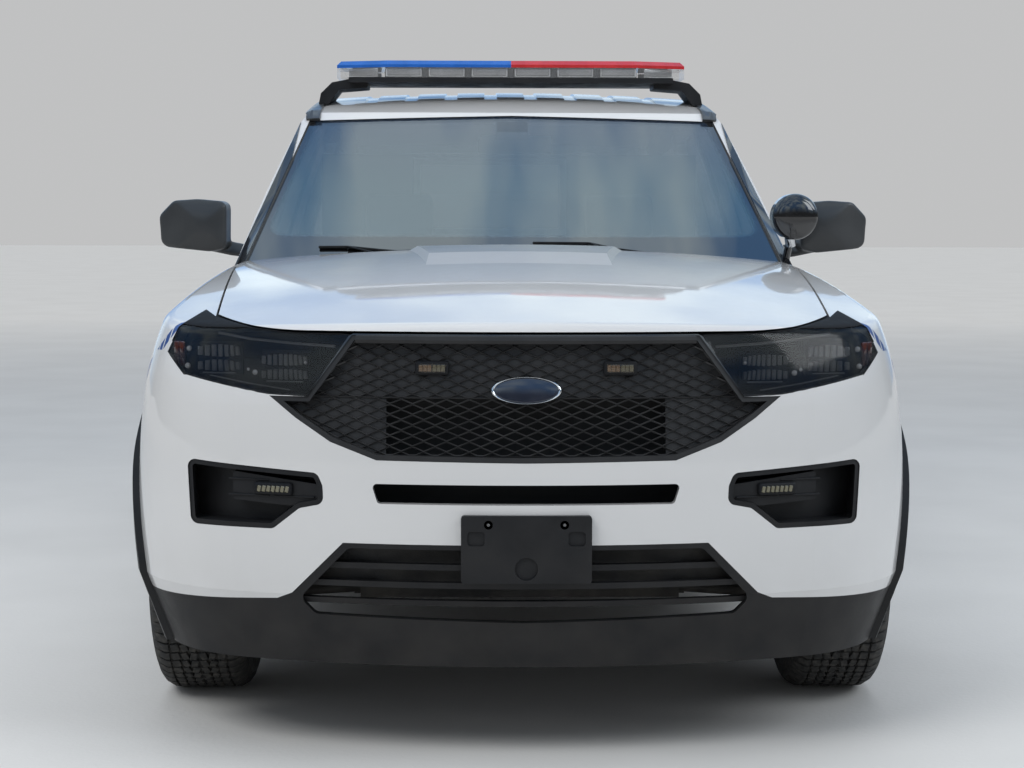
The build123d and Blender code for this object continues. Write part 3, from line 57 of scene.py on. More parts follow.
X, Y, Z = Vector((1, 0, 0)), Vector((0, 1, 0)), Vector((0, 0, 1))
MIRRORED = Matrix.Scale(-1, 4, X)
SIDES = (("left", 1), ("right", -1))
WHEELS = (
    ("front_left", 0.851, -1.630),
    ("front_right", -0.851, -1.630),
    ("rear_left", 0.851, 1.395),
    ("rear_right", -0.851, 1.395),
)
AXLE_Z = 0.3815


# Modelling helpers
def only(*objects):
    """Selects these objects alone, the last one active."""
    bpy.ops.object.select_all(action="DESELECT")
    for obj in objects:
        obj.select_set(True)
    bpy.context.view_layer.objects.active = objects[-1]
    return objects[-1]


def linked(name, data):
    """A new object in the scene."""
    obj = bpy.data.objects.new(name, data)
    bpy.context.scene.collection.objects.link(obj)
    return obj


def added(name, operator, **settings):
    """Adds a mesh with an operator, and moves its place, turn and size into its points."""
    bpy.ops.object.select_all(action="DESELECT")
    operator(**settings)
    obj = bpy.context.object
    obj.name = name
    only(obj)
    bpy.ops.object.transform_apply(location=True, rotation=True, scale=True)
    return obj


def facing(axis):
    return Z.rotation_difference(Vector(axis)).to_euler()


def slab(name, centre, size, turn=(0, 0, 0)):
    return added(name, bpy.ops.mesh.primitive_cube_add, size=1, location=centre, scale=size, rotation=turn)


def block(name, low, high):
    low, high = Vector(low), Vector(high)
    return slab(name, (low + high) / 2, high - low)


def beam(name, start, end, width, height):
    """A bar between two points that keeps its top level."""
    way = Vector(end) - Vector(start)
    middle = (Vector(start) + Vector(end)) / 2
    return slab(name, middle, (way.length, width, height), way.to_track_quat("X", "Z").to_euler())


def beams(name, points, width, height):
    """Bars from each point to the next."""
    return [beam(name, start, end, width, height) for start, end in zip(points[:-1], points[1:])]


def cylinder(name, centre, radius, depth, axis=Z, sides=32, top=None):
    return added(
        name,
        bpy.ops.mesh.primitive_cone_add,
        vertices=sides,
        radius1=radius,
        radius2=radius if top is None else top,
        depth=depth,
        location=centre,
        rotation=facing(axis),
    )


def ball(name, centre, size, segments=24):
    return added(
        name,
        bpy.ops.mesh.primitive_uv_sphere_add,
        segments=segments,
        ring_count=segments // 2,
        radius=1,
        location=centre,
        scale=size,
    )


def raw(name, points, edges=(), faces=()):
    """An object out of points with their edges or faces."""
    mesh = bpy.data.meshes.new(name)
    mesh.from_pydata([tuple(point) for point in points], edges, faces)
    return only(linked(name, mesh))


def edit(obj, *steps):
    """Runs edit mode operators on all of an object, given as (operator, settings)."""
    only(obj)
    bpy.ops.object.mode_set(mode="EDIT")
    bpy.ops.mesh.select_all(action="SELECT")
    for operator, settings in steps:
        operator(**settings)
    bpy.ops.object.mode_set(mode="OBJECT")
    return obj


def prism(name, points, along):
    """A flat outline carried along a vector."""
    return edit(
        raw(name, points, faces=[tuple(range(len(points)))]),
        (bpy.ops.mesh.extrude_region_move, {"TRANSFORM_OT_translate": {"value": along}}),
        (bpy.ops.mesh.select_all, {"action": "SELECT"}),
        (bpy.ops.mesh.normals_make_consistent, {"inside": False}),
    )


def chain(name, points):
    """A line of edges through the given points."""
    return raw(name, points, [(index, index + 1) for index in range(len(points) - 1)])


def spin(obj, steps, angle, axis):
    """Sweeps a chain about an axis through the origin and closes it into a solid."""
    return edit(
        obj,
        (bpy.ops.mesh.spin, {"steps": steps, "angle": angle, "center": (0, 0, 0), "axis": axis}),
        (bpy.ops.mesh.select_all, {"action": "SELECT"}),
        (bpy.ops.mesh.remove_doubles, {"threshold": 0.00005}),
        (bpy.ops.mesh.normals_make_consistent, {"inside": False}),
    )


def modify(obj, kind, **settings):
    only(obj)
    modifier = obj.modifiers.new(kind.title(), kind)
    for key, value in settings.items():
        setattr(modifier, key, value)
    bpy.ops.object.modifier_apply(modifier=modifier.name)
    return obj


def bevel(obj, width, segments=2, angle=35):
    limit = math.radians(angle)
    return modify(obj, "BEVEL", width=width, segments=segments, limit_method="ANGLE", angle_limit=limit)


def smooth(obj, angle):
    only(obj)
    bpy.ops.object.shade_smooth_by_angle(angle=math.radians(angle))


def join(name, pieces):
    only(*pieces)
    bpy.ops.object.join()
    bpy.context.object.name = name
    return bpy.context.object


def copied(obj, name, matrix):
    """A copy of a piece, moved or mirrored within its mesh."""
    only(obj)
    bpy.ops.object.duplicate()
    copy = bpy.context.object
    copy.name = name
    copy.data.transform(matrix)
    return copy


def cut(obj, *planes):
    """Removes what lies on the normals' side of planes, given as (point, normal)."""
    for point, normal in planes:
        plane = {"plane_co": point, "plane_no": normal, "clear_outer": True, "use_fill": False}
        edit(obj, (bpy.ops.mesh.bisect, plane))
    return obj


def span(axis, low, high):
    """The two planes that leave what lies between two distances along an axis."""
    return (axis * low, -axis), (axis * high, axis)


def dress(obj, finish, body="car_body", angle=35):
    """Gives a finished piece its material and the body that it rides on."""
    obj.data.materials.clear()
    obj.data.materials.append(FINISHES[finish])
    smooth(obj, angle)
    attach(obj, body)
    return obj


# Surfaces of the frame
def skin(node, name, keep):
    """A loose copy of the faces of a CAD node for which keep(centre, normal) is true."""
    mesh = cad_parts[node].data.copy()
    mesh.name = name
    obj = linked(name, mesh)
    merge = {"threshold": 0.00002}
    edit(obj, (bpy.ops.mesh.remove_doubles, merge), (bpy.ops.mesh.select_all, {"action": "DESELECT"}))
    for polygon in mesh.polygons:
        polygon.select = not keep(polygon.center, polygon.normal)
    bpy.ops.object.mode_set(mode="EDIT")
    bpy.ops.mesh.select_mode(type="FACE")
    bpy.ops.mesh.delete(type="FACE")
    bpy.ops.object.mode_set(mode="OBJECT")
    return obj


def band(node, name, keep, planes, thickness, finish, body="car_body", rise=0.5):
    """A thin moulding cut out of a CAD node's own surface, standing proud of it."""
    obj = cut(skin(node, name, keep), *planes)
    modify(obj, "SOLIDIFY", thickness=thickness, offset=rise, use_even_offset=True)
    return dress(obj, finish, body)


def hit(node, origin, direction):
    """Where a ray meets a CAD node, or comes nearest to it, and the surface's normal there."""
    if node not in SURFACES:
        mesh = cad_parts[node].data
        points = [vertex.co for vertex in mesh.vertices]
        SURFACES[node] = BVHTree.FromPolygons(points, [tuple(face.vertices) for face in mesh.polygons])
    start = Vector(origin)
    way = Vector(direction).normalized()
    place, normal = SURFACES[node].ray_cast(start, way)[:2]
    if place is None:
        low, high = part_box(node)
        middle = (Vector(low) + Vector(high)) / 2
        place, normal = SURFACES[node].find_nearest(start + way * (middle - start).dot(way))[:2]
    return place, normal


def seen(node, x, z, way=1):
    """Where a level ray from ahead, or from behind, meets a CAD node, and the normal there."""
    return hit(node, (x, -3.0 * way, z), (0, way, 0))


# Materials
SHADER_INPUTS = {
    "colour": "Base Color",
    "rough": "Roughness",
    "metal": "Metallic",
    "coat": "Coat Weight",
    "coat_rough": "Coat Roughness",
    "alpha": "Alpha",
    "ior": "IOR",
    "glow": "Emission Strength",
    "glow_colour": "Emission Color",
    "sheen": "Sheen Weight",
    "normal": "Normal",
    "specular": "Specular IOR Level",
}


class Graph:
    """A node tree that is put together step by step on one kind of coordinates."""

    def __init__(self, tree, coordinates):
        self.tree = tree
        self.place = tree.nodes.new("ShaderNodeTexCoord").outputs[coordinates]
        self.split = None

    def put(self, socket, value):
        if isinstance(value, bpy.types.NodeSocket):
            self.tree.links.new(value, socket)
        elif isinstance(value, tuple) and len(value) == 3 and socket.type == "RGBA":
            socket.default_value = (*value, 1)
        else:
            socket.default_value = value

    def node(self, kind, inputs=(), **settings):
        made = self.tree.nodes.new(kind)
        for key, value in settings.items():
            setattr(made, key, value)
        for key, value in dict(inputs).items():
            self.put(made.inputs[key], value)
        return made

    def math(self, operation, *values):
        made = self.node("ShaderNodeMath", operation=operation)
        for socket, value in zip(made.inputs, values):
            self.put(socket, value)
        return made.outputs[0]

    def product(self, first, *others):
        for other in others:
            first = self.math("MULTIPLY", first, other)
        return first

    def axis(self, name):
        if self.split is None:
            self.split = self.node("ShaderNodeSeparateXYZ", {"Vector": self.place})
        return self.split.outputs[name]

    def noise(self, scale, detail=3.0):
        made = self.node("ShaderNodeTexNoise", {"Vector": self.place, "Scale": scale, "Detail": detail})
        return made.outputs[0]

    def between(self, value, low, high, out_low=0.0, out_high=1.0):
        ends = {"Value": value, "From Min": low, "From Max": high, "To Min": out_low, "To Max": out_high}
        return self.node("ShaderNodeMapRange", ends, clamp=True).outputs[0]

    def mix(self, share, a, b):
        return self.node("ShaderNodeMix", {0: share, 6: a, 7: b}, data_type="RGBA").outputs[2]


class Recipe(Graph):
    """A finish: one material on Object coordinates."""

    def __init__(self, name):
        FINISHES[name] = bpy.data.materials.new(name)
        FINISHES[name].use_nodes = True
        super().__init__(FINISHES[name].node_tree, "Object")
        self.shader = self.tree.nodes["Principled BSDF"]

    def set(self, **values):
        for key, value in values.items():
            self.put(self.shader.inputs[SHADER_INPUTS[key]], value)

    def waves(self, scale, direction):
        settings = {"Vector": self.place, "Scale": scale}
        return self.node("ShaderNodeTexWave", settings, bands_direction=direction).outputs[1]

    def bump(self, height, distance, strength=1.0):
        made = self.node("ShaderNodeBump", {"Height": height, "Distance": distance, "Strength": strength})
        self.set(normal=made.outputs[0])


ROAD_FILM = (0.30, 0.27, 0.23)


def dusted(recipe, colour, amount, top=0.75):
    """Road film that fades out up the body."""
    low = recipe.between(recipe.axis("Z"), 0.15, top, 1.0, 0.0)
    patches = recipe.between(recipe.noise(9.0, 5.0), 0.35, 0.75)
    return recipe.mix(recipe.product(low, patches, amount), colour, ROAD_FILM)


# name, colour, second colour, patch scale, roughness from and to, metal, coat, grain scale, grain depth, dust
PLAIN_FINISHES = (
    ("black_plastic", (0.009, 0.009, 0.010), (0.014, 0.014, 0.015), 14, 0.42, 0.58, 0, 0, 900, 0.00030, 0.06),
    ("soft_black", (0.005, 0.005, 0.006), (0.009, 0.009, 0.010), 20, 0.55, 0.75, 0, 0, 700, 0.0003, 0.0),
    ("gloss_black", (0.006, 0.006, 0.007), (0.010, 0.010, 0.011), 10, 0.05, 0.12, 0, 1, 260, 0.00002, 0.0),
    ("satin_black", (0.020, 0.020, 0.021), (0.034, 0.034, 0.035), 18, 0.30, 0.42, 0, 0.3, 500, 0.0001, 0.45),
    ("dark_paint", (0.012, 0.012, 0.013), (0.024, 0.023, 0.022), 7, 0.45, 0.70, 0, 0, 260, 0.0005, 0.25),
    ("steel", (0.16, 0.16, 0.165), (0.26, 0.25, 0.24), 22, 0.35, 0.60, 1, 0, 420, 0.0003, 0.35),
    ("cast_metal", (0.13, 0.13, 0.135), (0.22, 0.22, 0.22), 16, 0.45, 0.70, 0.8, 0, 300, 0.0008, 0.3),
    ("cabin_plastic", (0.020, 0.020, 0.023), (0.032, 0.032, 0.036), 25, 0.50, 0.65, 0, 0, 800, 0.0004, 0.0),
    ("chrome", (0.62, 0.63, 0.65), (0.70, 0.71, 0.72), 12, 0.04, 0.12, 1, 0, 300, 0.00001, 0.0),
    ("grey_trim", (0.16, 0.165, 0.17), (0.22, 0.225, 0.23), 25, 0.28, 0.40, 0.6, 0.2, 500, 0.0001, 0.0),
    ("pale_frame", (0.36, 0.37, 0.38), (0.46, 0.47, 0.48), 20, 0.30, 0.45, 0.3, 0, 500, 0.0001, 0.0),
    ("partition_steel", (0.03, 0.03, 0.031), (0.05, 0.05, 0.05), 20, 0.40, 0.55, 0.2, 0, 600, 0.0002, 0.0),
    ("grille_black", (0.026, 0.026, 0.027), (0.036, 0.036, 0.037), 12, 0.30, 0.42, 0, 0.15, 600, 0.0001, 0.0),
    ("grille_frame_black", (0.022, 0.022, 0.023), (0.03, 0.03, 0.031), 12, 0.48, 0.6, 0, 0, 700, 0.0001, 0),
    # core_black is near-black: partly the radiator core's own dark colour, partly painted shade behind the
    # grille
    ("core_black", (0.004, 0.004, 0.004), (0.009, 0.009, 0.009), 40, 0.55, 0.75, 0.2, 0, 900, 0.0002, 0.0),
    ("moulding_black", (0.008, 0.009, 0.012), (0.013, 0.014, 0.017), 14, 0.16, 0.26, 0, 0.6, 500, 0.00003, 0),
    ("mirror_black", (0.022, 0.024, 0.026), (0.031, 0.033, 0.035), 10, 0.40, 0.50, 0, 0.2, 900, 0.0001, 0.05),
    ("lamp_black", (0.006, 0.006, 0.007), (0.010, 0.010, 0.011), 20, 0.78, 0.92, 0, 0, 120, 0.00002, 0.0),
    ("bright_trim", (0.62, 0.63, 0.64), (0.70, 0.71, 0.72), 20, 0.18, 0.30, 0.2, 0.4, 500, 0.00003, 0.0),
    ("badge_blank", (0.012, 0.016, 0.030), (0.018, 0.022, 0.038), 30, 0.12, 0.2, 0, 1, 200, 0.00002, 0.0),
    ("mirror_silver", (0.70, 0.72, 0.74), (0.76, 0.78, 0.80), 8, 0.02, 0.05, 1, 0, 200, 0.00001, 0.0),
    ("plate_blank", (0.62, 0.63, 0.62), (0.70, 0.71, 0.70), 10, 0.35, 0.5, 0, 0, 300, 0.0001, 0.2),
    ("wiper_rubber", (0.008, 0.008, 0.008), (0.016, 0.016, 0.016), 40, 0.40, 0.60, 0, 0, 600, 0.0001, 0.0),
)


def plain_finish(name, colour, second, patch, rough, rougher, metal, coat, grain, depth, dust):
    recipe = Recipe(name)
    patches = recipe.noise(patch, 4.0)
    shade = recipe.mix(recipe.between(patches, 0.35, 0.65), colour, second)
    if dust:
        shade = dusted(recipe, shade, dust)
    recipe.set(colour=shade, rough=recipe.between(patches, 0.3, 0.7, rough, rougher), metal=metal, coat=coat)
    recipe.set(coat_rough=0.06, specular=0.5 if metal or coat else 0.28)
    recipe.bump(recipe.noise(grain, 2.0), depth)


# How much paler the paint's patches are than the rest
PAINT_TONE = 0.04
MASK_BLACK = (0.012, 0.012, 0.013)
# half width, low and high Z of the black area
NOSE_MASK = (0.520, 0.885, 1.200)
REAR_MASK = (1.500, -1.000, 0.470)
# The band of slanted blue bars: it falls from the nose to a level run along the sides
BAND_START_Y = -2.210
BAND_END_Y = 1.82
BAND_Z = 0.871
BAND_RISE = 0.177
BAND_SWEEP = 0.090
BAND_HALF = 0.021
BAND_PITCH = 0.024
BAND_LEAN = 0.19
BAND_SHARE = 0.78
# Behind this Y only faces further out than this X carry it
BAND_NOSE_Y = -1.40
BAND_INNER_X = 0.925


def band_area(recipe):
    """One inside a bar of the band, nought elsewhere."""
    y = recipe.math("SUBTRACT", recipe.axis("Y"), BAND_START_Y)
    z = recipe.math("SUBTRACT", recipe.axis("Z"), BAND_Z)
    fall = recipe.math("EXPONENT", recipe.math("DIVIDE", y, -BAND_SWEEP))
    near = recipe.math("COMPARE", z, recipe.product(fall, BAND_RISE), BAND_HALF)
    along = recipe.math("DIVIDE", recipe.math("MULTIPLY_ADD", z, -BAND_LEAN, y), BAND_PITCH)
    bar = recipe.math("LESS_THAN", recipe.math("FRACT", along), BAND_SHARE)
    ahead = recipe.math("LESS_THAN", recipe.axis("Y"), BAND_END_Y)
    nose = recipe.math("LESS_THAN", recipe.axis("Y"), BAND_NOSE_Y)
    wide = recipe.math("GREATER_THAN", recipe.math("ABSOLUTE", recipe.axis("X")), BAND_INNER_X)
    return recipe.product(near, bar, recipe.math("MAXIMUM", nose, wide), ahead)


def mask_area(recipe, half, low, high):
    """One in a box that is mirrored across the car, nought elsewhere."""
    across = recipe.math("LESS_THAN", recipe.math("ABSOLUTE", recipe.axis("X")), half)
    above = recipe.math("GREATER_THAN", recipe.axis("Z"), low)
    below = recipe.math("LESS_THAN", recipe.axis("Z"), high)
    return recipe.product(across, above, below)


def paint_finish(name, body, bars=None, mask=None):
    """Body paint under lacquer, with bars of a second colour or a black area."""
    recipe = Recipe(name)
    tone = recipe.between(recipe.noise(1.6), 0.3, 0.7)
    shade = recipe.mix(tone, body, tuple(c + PAINT_TONE for c in body))
    coat = 1.0
    if bars:
        area = band_area(recipe)
        shade = recipe.mix(area, shade, bars)
        coat = recipe.math("MULTIPLY_ADD", area, -0.7, 1.0)
    if mask:
        shade = recipe.mix(mask_area(recipe, *mask), shade, MASK_BLACK)
    shade = dusted(recipe, shade, 0.22, 0.55)
    recipe.set(colour=shade, rough=recipe.between(recipe.noise(30.0), 0.3, 0.7, 0.32, 0.42), coat=coat)
    recipe.set(coat_rough=recipe.between(recipe.noise(12.0), 0.3, 0.7, 0.02, 0.06))
    recipe.bump(recipe.noise(420.0, 1.0), 0.00002, 0.6)


# Painted shade: the windscreen's tint turns to this darker blue between these heights, towards its top
SCREEN_PAINTED_SHADE = (0.020, 0.042, 0.085)
SCREEN_PAINTED_SHADE_Z = (1.40, 1.62)
# The windscreen's printed border: half width at Z 0, what it loses with height, and the lower edge
FRIT_TOP = 1.223
FRIT_LEAN = 0.328
FRIT_LOW_Z = 1.222
FRIT_BLACK = (0.006, 0.006, 0.007)


def glass_finish(name, tint, alpha, frit=False):
    """Tinted glass with paler patches of painted cloud reflection; the windscreen is also painted darker blue
    towards its top as painted shade, and has its black printed border.
    """
    recipe = Recipe(name)
    # Paler patches of the tint are painted reflections of clouds; the same noise also varies the roughness
    painted_clouds_and_film = recipe.between(recipe.noise(2.2, 2.0), 0.3, 0.8)
    colour = recipe.mix(painted_clouds_and_film, tint, tuple(c * 1.3 for c in tint))
    recipe.set(colour=colour, rough=recipe.between(painted_clouds_and_film, 0.0, 1.0, 0.01, 0.03), ior=1.6)
    recipe.set(alpha=alpha, specular=0.9)
    if frit:
        height = recipe.axis("Z")
        # Painted shade: darker blue towards the windscreen's top
        colour = recipe.mix(recipe.between(height, *SCREEN_PAINTED_SHADE_Z), colour, SCREEN_PAINTED_SHADE)
        side = recipe.math("MULTIPLY_ADD", height, -FRIT_LEAN, FRIT_TOP)
        across = recipe.math("ABSOLUTE", recipe.axis("X"))
        edge = recipe.product(recipe.math("SUBTRACT", side, across), 0.65)
        low = recipe.math("SUBTRACT", height, FRIT_LOW_Z)
        nearest = recipe.math("SMOOTH_MIN", edge, low, 0.075)
        cells = recipe.node("ShaderNodeTexVoronoi", {"Vector": recipe.place, "Scale": 260.0})
        dots = recipe.product(cells.outputs["Distance"], 0.012)
        border = recipe.between(recipe.math("ADD", nearest, dots), 0.020, 0.027, 1.0, 0.0)
        recipe.set(colour=recipe.mix(border, colour, FRIT_BLACK), ior=2.4)
        recipe.set(alpha=recipe.between(border, 0.0, 1.0, alpha, 1.0))
        recipe.set(specular=recipe.between(border, 0.0, 1.0, 0.9, 0.5))


# name, tint, alpha, scale of the ribs, coat
LENS_FINISHES = (
    ("headlamp_lens", (0.004, 0.004, 0.005), 0.34, 0.0, 0.0),
    ("clear_lens", (0.42, 0.43, 0.44), 0.22, 0.0, 1.0),
    ("red_lens", (0.46, 0.022, 0.026), 0.96, 40.0, 1.0),
    ("blue_lens", (0.010, 0.100, 0.42), 0.96, 40.0, 1.0),
    ("marker_red", (0.045, 0.008, 0.007), 0.9, 60.0, 1.0),
    ("marker_amber", (0.060, 0.011, 0.007), 0.9, 60.0, 1.0),
    ("led", (0.115, 0.105, 0.062), 1.0, 160.0, 1.0),
    ("led_amber", (0.15, 0.085, 0.042), 1.0, 160.0, 1.0),
    ("led_lens", (0.06, 0.05, 0.035), 0.35, 0.0, 1.0),
    ("lamp_grey", (0.20, 0.205, 0.21), 1.0, 90.0, 1.0),
)


def lens_finish(name, tint, alpha, ribs, coat):
    """Clear or coloured plastic with fine moulded optics."""
    recipe = Recipe(name)
    cloud = recipe.between(recipe.noise(18.0, 4.0), 0.3, 0.8)
    colour = recipe.mix(cloud, tint, tuple(min(1.0, c * 1.3 + 0.01) for c in tint))
    recipe.set(colour=colour, alpha=alpha, coat=coat, coat_rough=0.03, ior=1.50)
    recipe.set(rough=recipe.between(cloud, 0.0, 1.0, 0.05, 0.12))
    if ribs:
        recipe.bump(recipe.waves(ribs, "X"), 0.0006, 0.6)
    else:
        recipe.bump(recipe.noise(14.0, 1.0), 0.00003, 0.3)


def rubber_finish(name):
    recipe = Recipe(name)
    patches = recipe.noise(11.0, 5.0)
    shade = recipe.mix(recipe.between(patches, 0.35, 0.7), (0.014, 0.014, 0.014), (0.034, 0.033, 0.031))
    reach = recipe.between(recipe.noise(60.0), 0.45, 0.75)
    shade = recipe.mix(recipe.product(reach, 0.35), shade, (0.16, 0.145, 0.125))
    recipe.set(colour=shade, rough=recipe.between(patches, 0.3, 0.7, 0.68, 0.88))
    recipe.bump(recipe.noise(340.0), 0.0005)


def cloth_finish(name, warp, weft, scale):
    """Woven seat cloth: two crossed waves with loose fibres."""
    recipe = Recipe(name)
    weave = recipe.product(recipe.waves(scale, "X"), recipe.waves(scale, "Z"))
    recipe.set(colour=recipe.mix(weave, warp, weft), rough=0.92, sheen=0.35)
    recipe.bump(recipe.math("ADD", weave, recipe.noise(500.0)), 0.0006)


def floor_finish(name):
    """A pale floor that glows a little far from the car, so that it meets the backdrop softly."""
    recipe = Recipe(name)
    patches = recipe.between(recipe.noise(1.2, 4.0), 0.35, 0.65)
    shade = recipe.mix(patches, (0.66, 0.66, 0.65), (0.70, 0.70, 0.69))
    reach = recipe.node("ShaderNodeVectorMath", {"Vector": recipe.place}, operation="LENGTH").outputs["Value"]
    recipe.set(colour=shade, rough=0.85, specular=0.2, glow_colour=(1.0, 0.92, 0.80))
    recipe.set(glow=recipe.between(reach, 5.0, 20.0, 0.0, 0.27))
    recipe.bump(recipe.noise(60.0, 2.0), 0.0008)


def make_finishes(body, bars):
    for row in PLAIN_FINISHES:
        plain_finish(*row)
    for row in LENS_FINISHES:
        lens_finish(*row)
    paint_finish("white_paint", body)
    paint_finish("banded_paint", body, bars=bars)
    paint_finish("bumper_paint", body, mask=NOSE_MASK)
    paint_finish("rear_bumper_paint", body, mask=REAR_MASK)
    glass_finish("glass", (0.012, 0.018, 0.022), 0.74)
    glass_finish("windscreen_glass", (0.034, 0.080, 0.102), 0.50, frit=True)
    rubber_finish("tyre")
    cloth_finish("seat_fabric", (0.018, 0.018, 0.020), (0.052, 0.052, 0.056), 260.0)
    floor_finish("floor")


# Tyres and wheels
TREAD_PITCHES = 72
TREAD_RADIUS = 0.3775
# Half of the tyre's section, as distances from its middle and radii
CARCASS = (
    (0.0960, 0.2292), (0.1015, 0.2440), (0.1085, 0.2540), (0.1160, 0.2600), (0.1195, 0.2680),
    (0.1185, 0.2760), (0.1228, 0.2920), (0.1235, 0.2935), (0.1248, 0.2940), (0.1262, 0.3100),
    (0.1258, 0.3220), (0.1240, 0.3230), (0.1238, 0.3260), (0.1248, 0.3275), (0.1226, 0.3420),
    (0.1205, 0.3430), (0.1170, 0.3570), (0.1080, 0.3655), (0.0920, 0.3720), (0.0720, 0.3728),
    (0.0, 0.3735),
)
# Rows of tread blocks: from and to the middle, share of the pitch, skew in degrees
TREAD_ROWS = ((0.004, 0.022, 0.86, 14), (0.0275, 0.0445, 0.80, -16), (0.0500, 0.0705, 0.80, -10))
TREAD_BLOCK_RADIUS = 0.37680
TREAD_BLOCK_HEIGHT = 0.0090
SHOULDER = (
    (0.0765, 0.370), (0.0765, 0.3812), (0.0880, 0.3806), (0.1080, 0.3690), (0.1165, 0.3575), (0.1130, 0.355),
)
SHOULDER_SHARE = 0.80
SIDE_BAR = ((0.1205, 0.3300), (0.1236, 0.3320), (0.1215, 0.3430), (0.1180, 0.3520))
SIDE_BAR_WIDTH = 0.0044


def raised(name, side, section, width):
    """A piece of the tread with one section (x, radius) along its width."""
    return prism(name, [(side * x, -width / 2, radius) for x, radius in section], (0, width, 0))


def tread(pitch):
    """One pitch of the tread at the tyre's top: three rows, a shoulder block and a bar on each side."""
    ribs = []
    for side in (1, -1):
        for low, high, share, skew in TREAD_ROWS:
            centre = (side * (low + high) / 2, 0, TREAD_BLOCK_RADIUS)
            size = (high - low, pitch * share, TREAD_BLOCK_HEIGHT)
            ribs.append(bevel(slab("row", centre, size, (0, 0, math.radians(side * skew))), 0.0012, 1))
        ribs.append(bevel(raised("shoulder", side, SHOULDER, pitch * SHOULDER_SHARE), 0.0011, 1))
        ribs.append(raised("bar", side, SIDE_BAR, SIDE_BAR_WIDTH))
    return join("tread", ribs)


def make_tyres():
    """A carcass spun from its section, with the tread repeated around it, on each wheel."""
    profile = [(x, 0, radius) for x, radius in CARCASS]
    profile += [(-x, 0, radius) for x, radius in reversed(CARCASS[:-1])]
    carcass = spin(chain("carcass", profile), 120, math.tau, X)
    ribs = tread(TREAD_RADIUS * math.tau / TREAD_PITCHES)
    pivot = linked("pivot", None)
    pivot.rotation_euler = (math.tau / TREAD_PITCHES, 0, 0)
    bpy.context.view_layer.update()
    around = {"use_relative_offset": False, "use_object_offset": True, "offset_object": pivot}
    modify(ribs, "ARRAY", count=TREAD_PITCHES, **around)
    bpy.data.objects.remove(pivot)
    tyre = join("tyre", [ribs, carcass])
    for name, x, y in WHEELS:
        piece = copied(tyre, f"tread_{name}", Matrix.Translation((x, y, AXLE_Z)))
        dress(piece, "tyre", f"wheel_{name}", 30)
        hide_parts(f"tyre_{name}")
    bpy.data.objects.remove(tyre)


NUT_CIRCLE = 0.0572


def make_wheel_details(lug_nuts):
    """Centre cap, lug nuts, studs and valve of each wheel, modelled with the outer face to +X."""
    cap = bevel(cylinder("cap", (0.0665, 0, 0), 0.036, 0.019, X, 40, 0.030), 0.003, 3)
    dome = ball("dome", (0.0735, 0, 0), (0.006, 0.026, 0.026))
    nuts = []
    for index in range(lug_nuts):
        turn = math.tau * (index + 0.25) / lug_nuts
        y, z = NUT_CIRCLE * math.cos(turn), NUT_CIRCLE * math.sin(turn)
        nuts.append(bevel(cylinder("nut", (0.0680, y, z), 0.0105, 0.022, X, 6), 0.0016, 2))
        nuts.append(cylinder("stud", (0.0800, y, z), 0.0055, 0.006, X, 16))
    valve = cylinder("valve", (0.0500, 0, 0.186), 0.0045, 0.034, (0.9, 0, -0.35), 14)
    bright = join("bright", nuts + [valve])
    middle = join("middle", [cap, dome])
    for name, x, y in WHEELS:
        place = Matrix.Translation((x, y, AXLE_Z))
        for source, kind, finish in ((bright, "lug_nuts", "chrome"), (middle, "hub_cap", "satin_black")):
            piece = copied(source, f"{kind}_{name}", place if x > 0 else place @ MIRRORED)
            if x < 0:
                edit(piece, (bpy.ops.mesh.flip_normals, {}))
            dress(piece, finish, f"wheel_{name}")
    bpy.data.objects.remove(bright)
    bpy.data.objects.remove(middle)


# Grille
# The nose is a cone around an upright axis
NOSE_AXIS_Y = -0.525
NOSE_RADIUS = 1.984
NOSE_Z = 0.723
NOSE_TAPER = 0.1966
MESH_X = 0.0535
MESH_Z = 0.0245
MESH_CELLS = 40
MESH_MIDDLE = (0, -2.60, 0.857)
MESH_DEPTH = 0.0030
# Outlines (x, z), clockwise from ahead
UPPER_FIELD = ((-0.404, 1.004), (0.404, 1.004), (0.506, 0.873), (-0.506, 0.873))
LOWER_FIELD = (
    (-0.588, 0.873), (0.588, 0.873), (0.537, 0.833), (0.455, 0.780),
    (0.349, 0.738), (-0.349, 0.738), (-0.455, 0.780), (-0.537, 0.833),
)
# Section (y, z) of the lip at the grille's top, closed, and its reach to each side
LIP = (
    (-2.4700, 0.9975), (-2.4800, 1.0005), (-2.4830, 1.0080), (-2.4800, 1.0165),
    (-2.4650, 1.0185), (-2.4500, 1.0150), (-2.4500, 1.0000), (-2.4700, 0.9975),
)
LIP_REACH = math.radians(11.9)
BADGE_MIDDLE_Z = 0.8905
BADGE_HALF_HEIGHT = 0.0335
BADGE_LEAN = math.radians(-11)
LAMP_X = 0.222
LAMP_Z = 0.942


def nose_radius(z):
    return NOSE_RADIUS - (z - NOSE_Z) * NOSE_TAPER


def nose_y(x, z):
    return NOSE_AXIS_Y - math.sqrt(nose_radius(z) ** 2 - x ** 2)


def lattice(name, points):
    """A flat, upright sheet of diamonds inside a convex outline."""
    cells = {"x_subdivisions": MESH_CELLS, "y_subdivisions": MESH_CELLS, "size": MESH_CELLS / math.sqrt(2)}
    obj = added(name, bpy.ops.mesh.primitive_grid_add, **cells)
    turn = Matrix.Rotation(math.radians(45), 4, "Z")
    stretch = Matrix.Diagonal((MESH_X, MESH_Z, 1, 1))
    stand = Matrix.Rotation(math.radians(90), 4, "X")
    obj.data.transform(Matrix.Translation(MESH_MIDDLE) @ stand @ stretch @ turn)
    for (x, z), (next_x, next_z) in zip(points, points[1:] + points[:1]):
        cut(obj, ((x, 0, z), (z - next_z, 0, next_x - x)))
    return obj


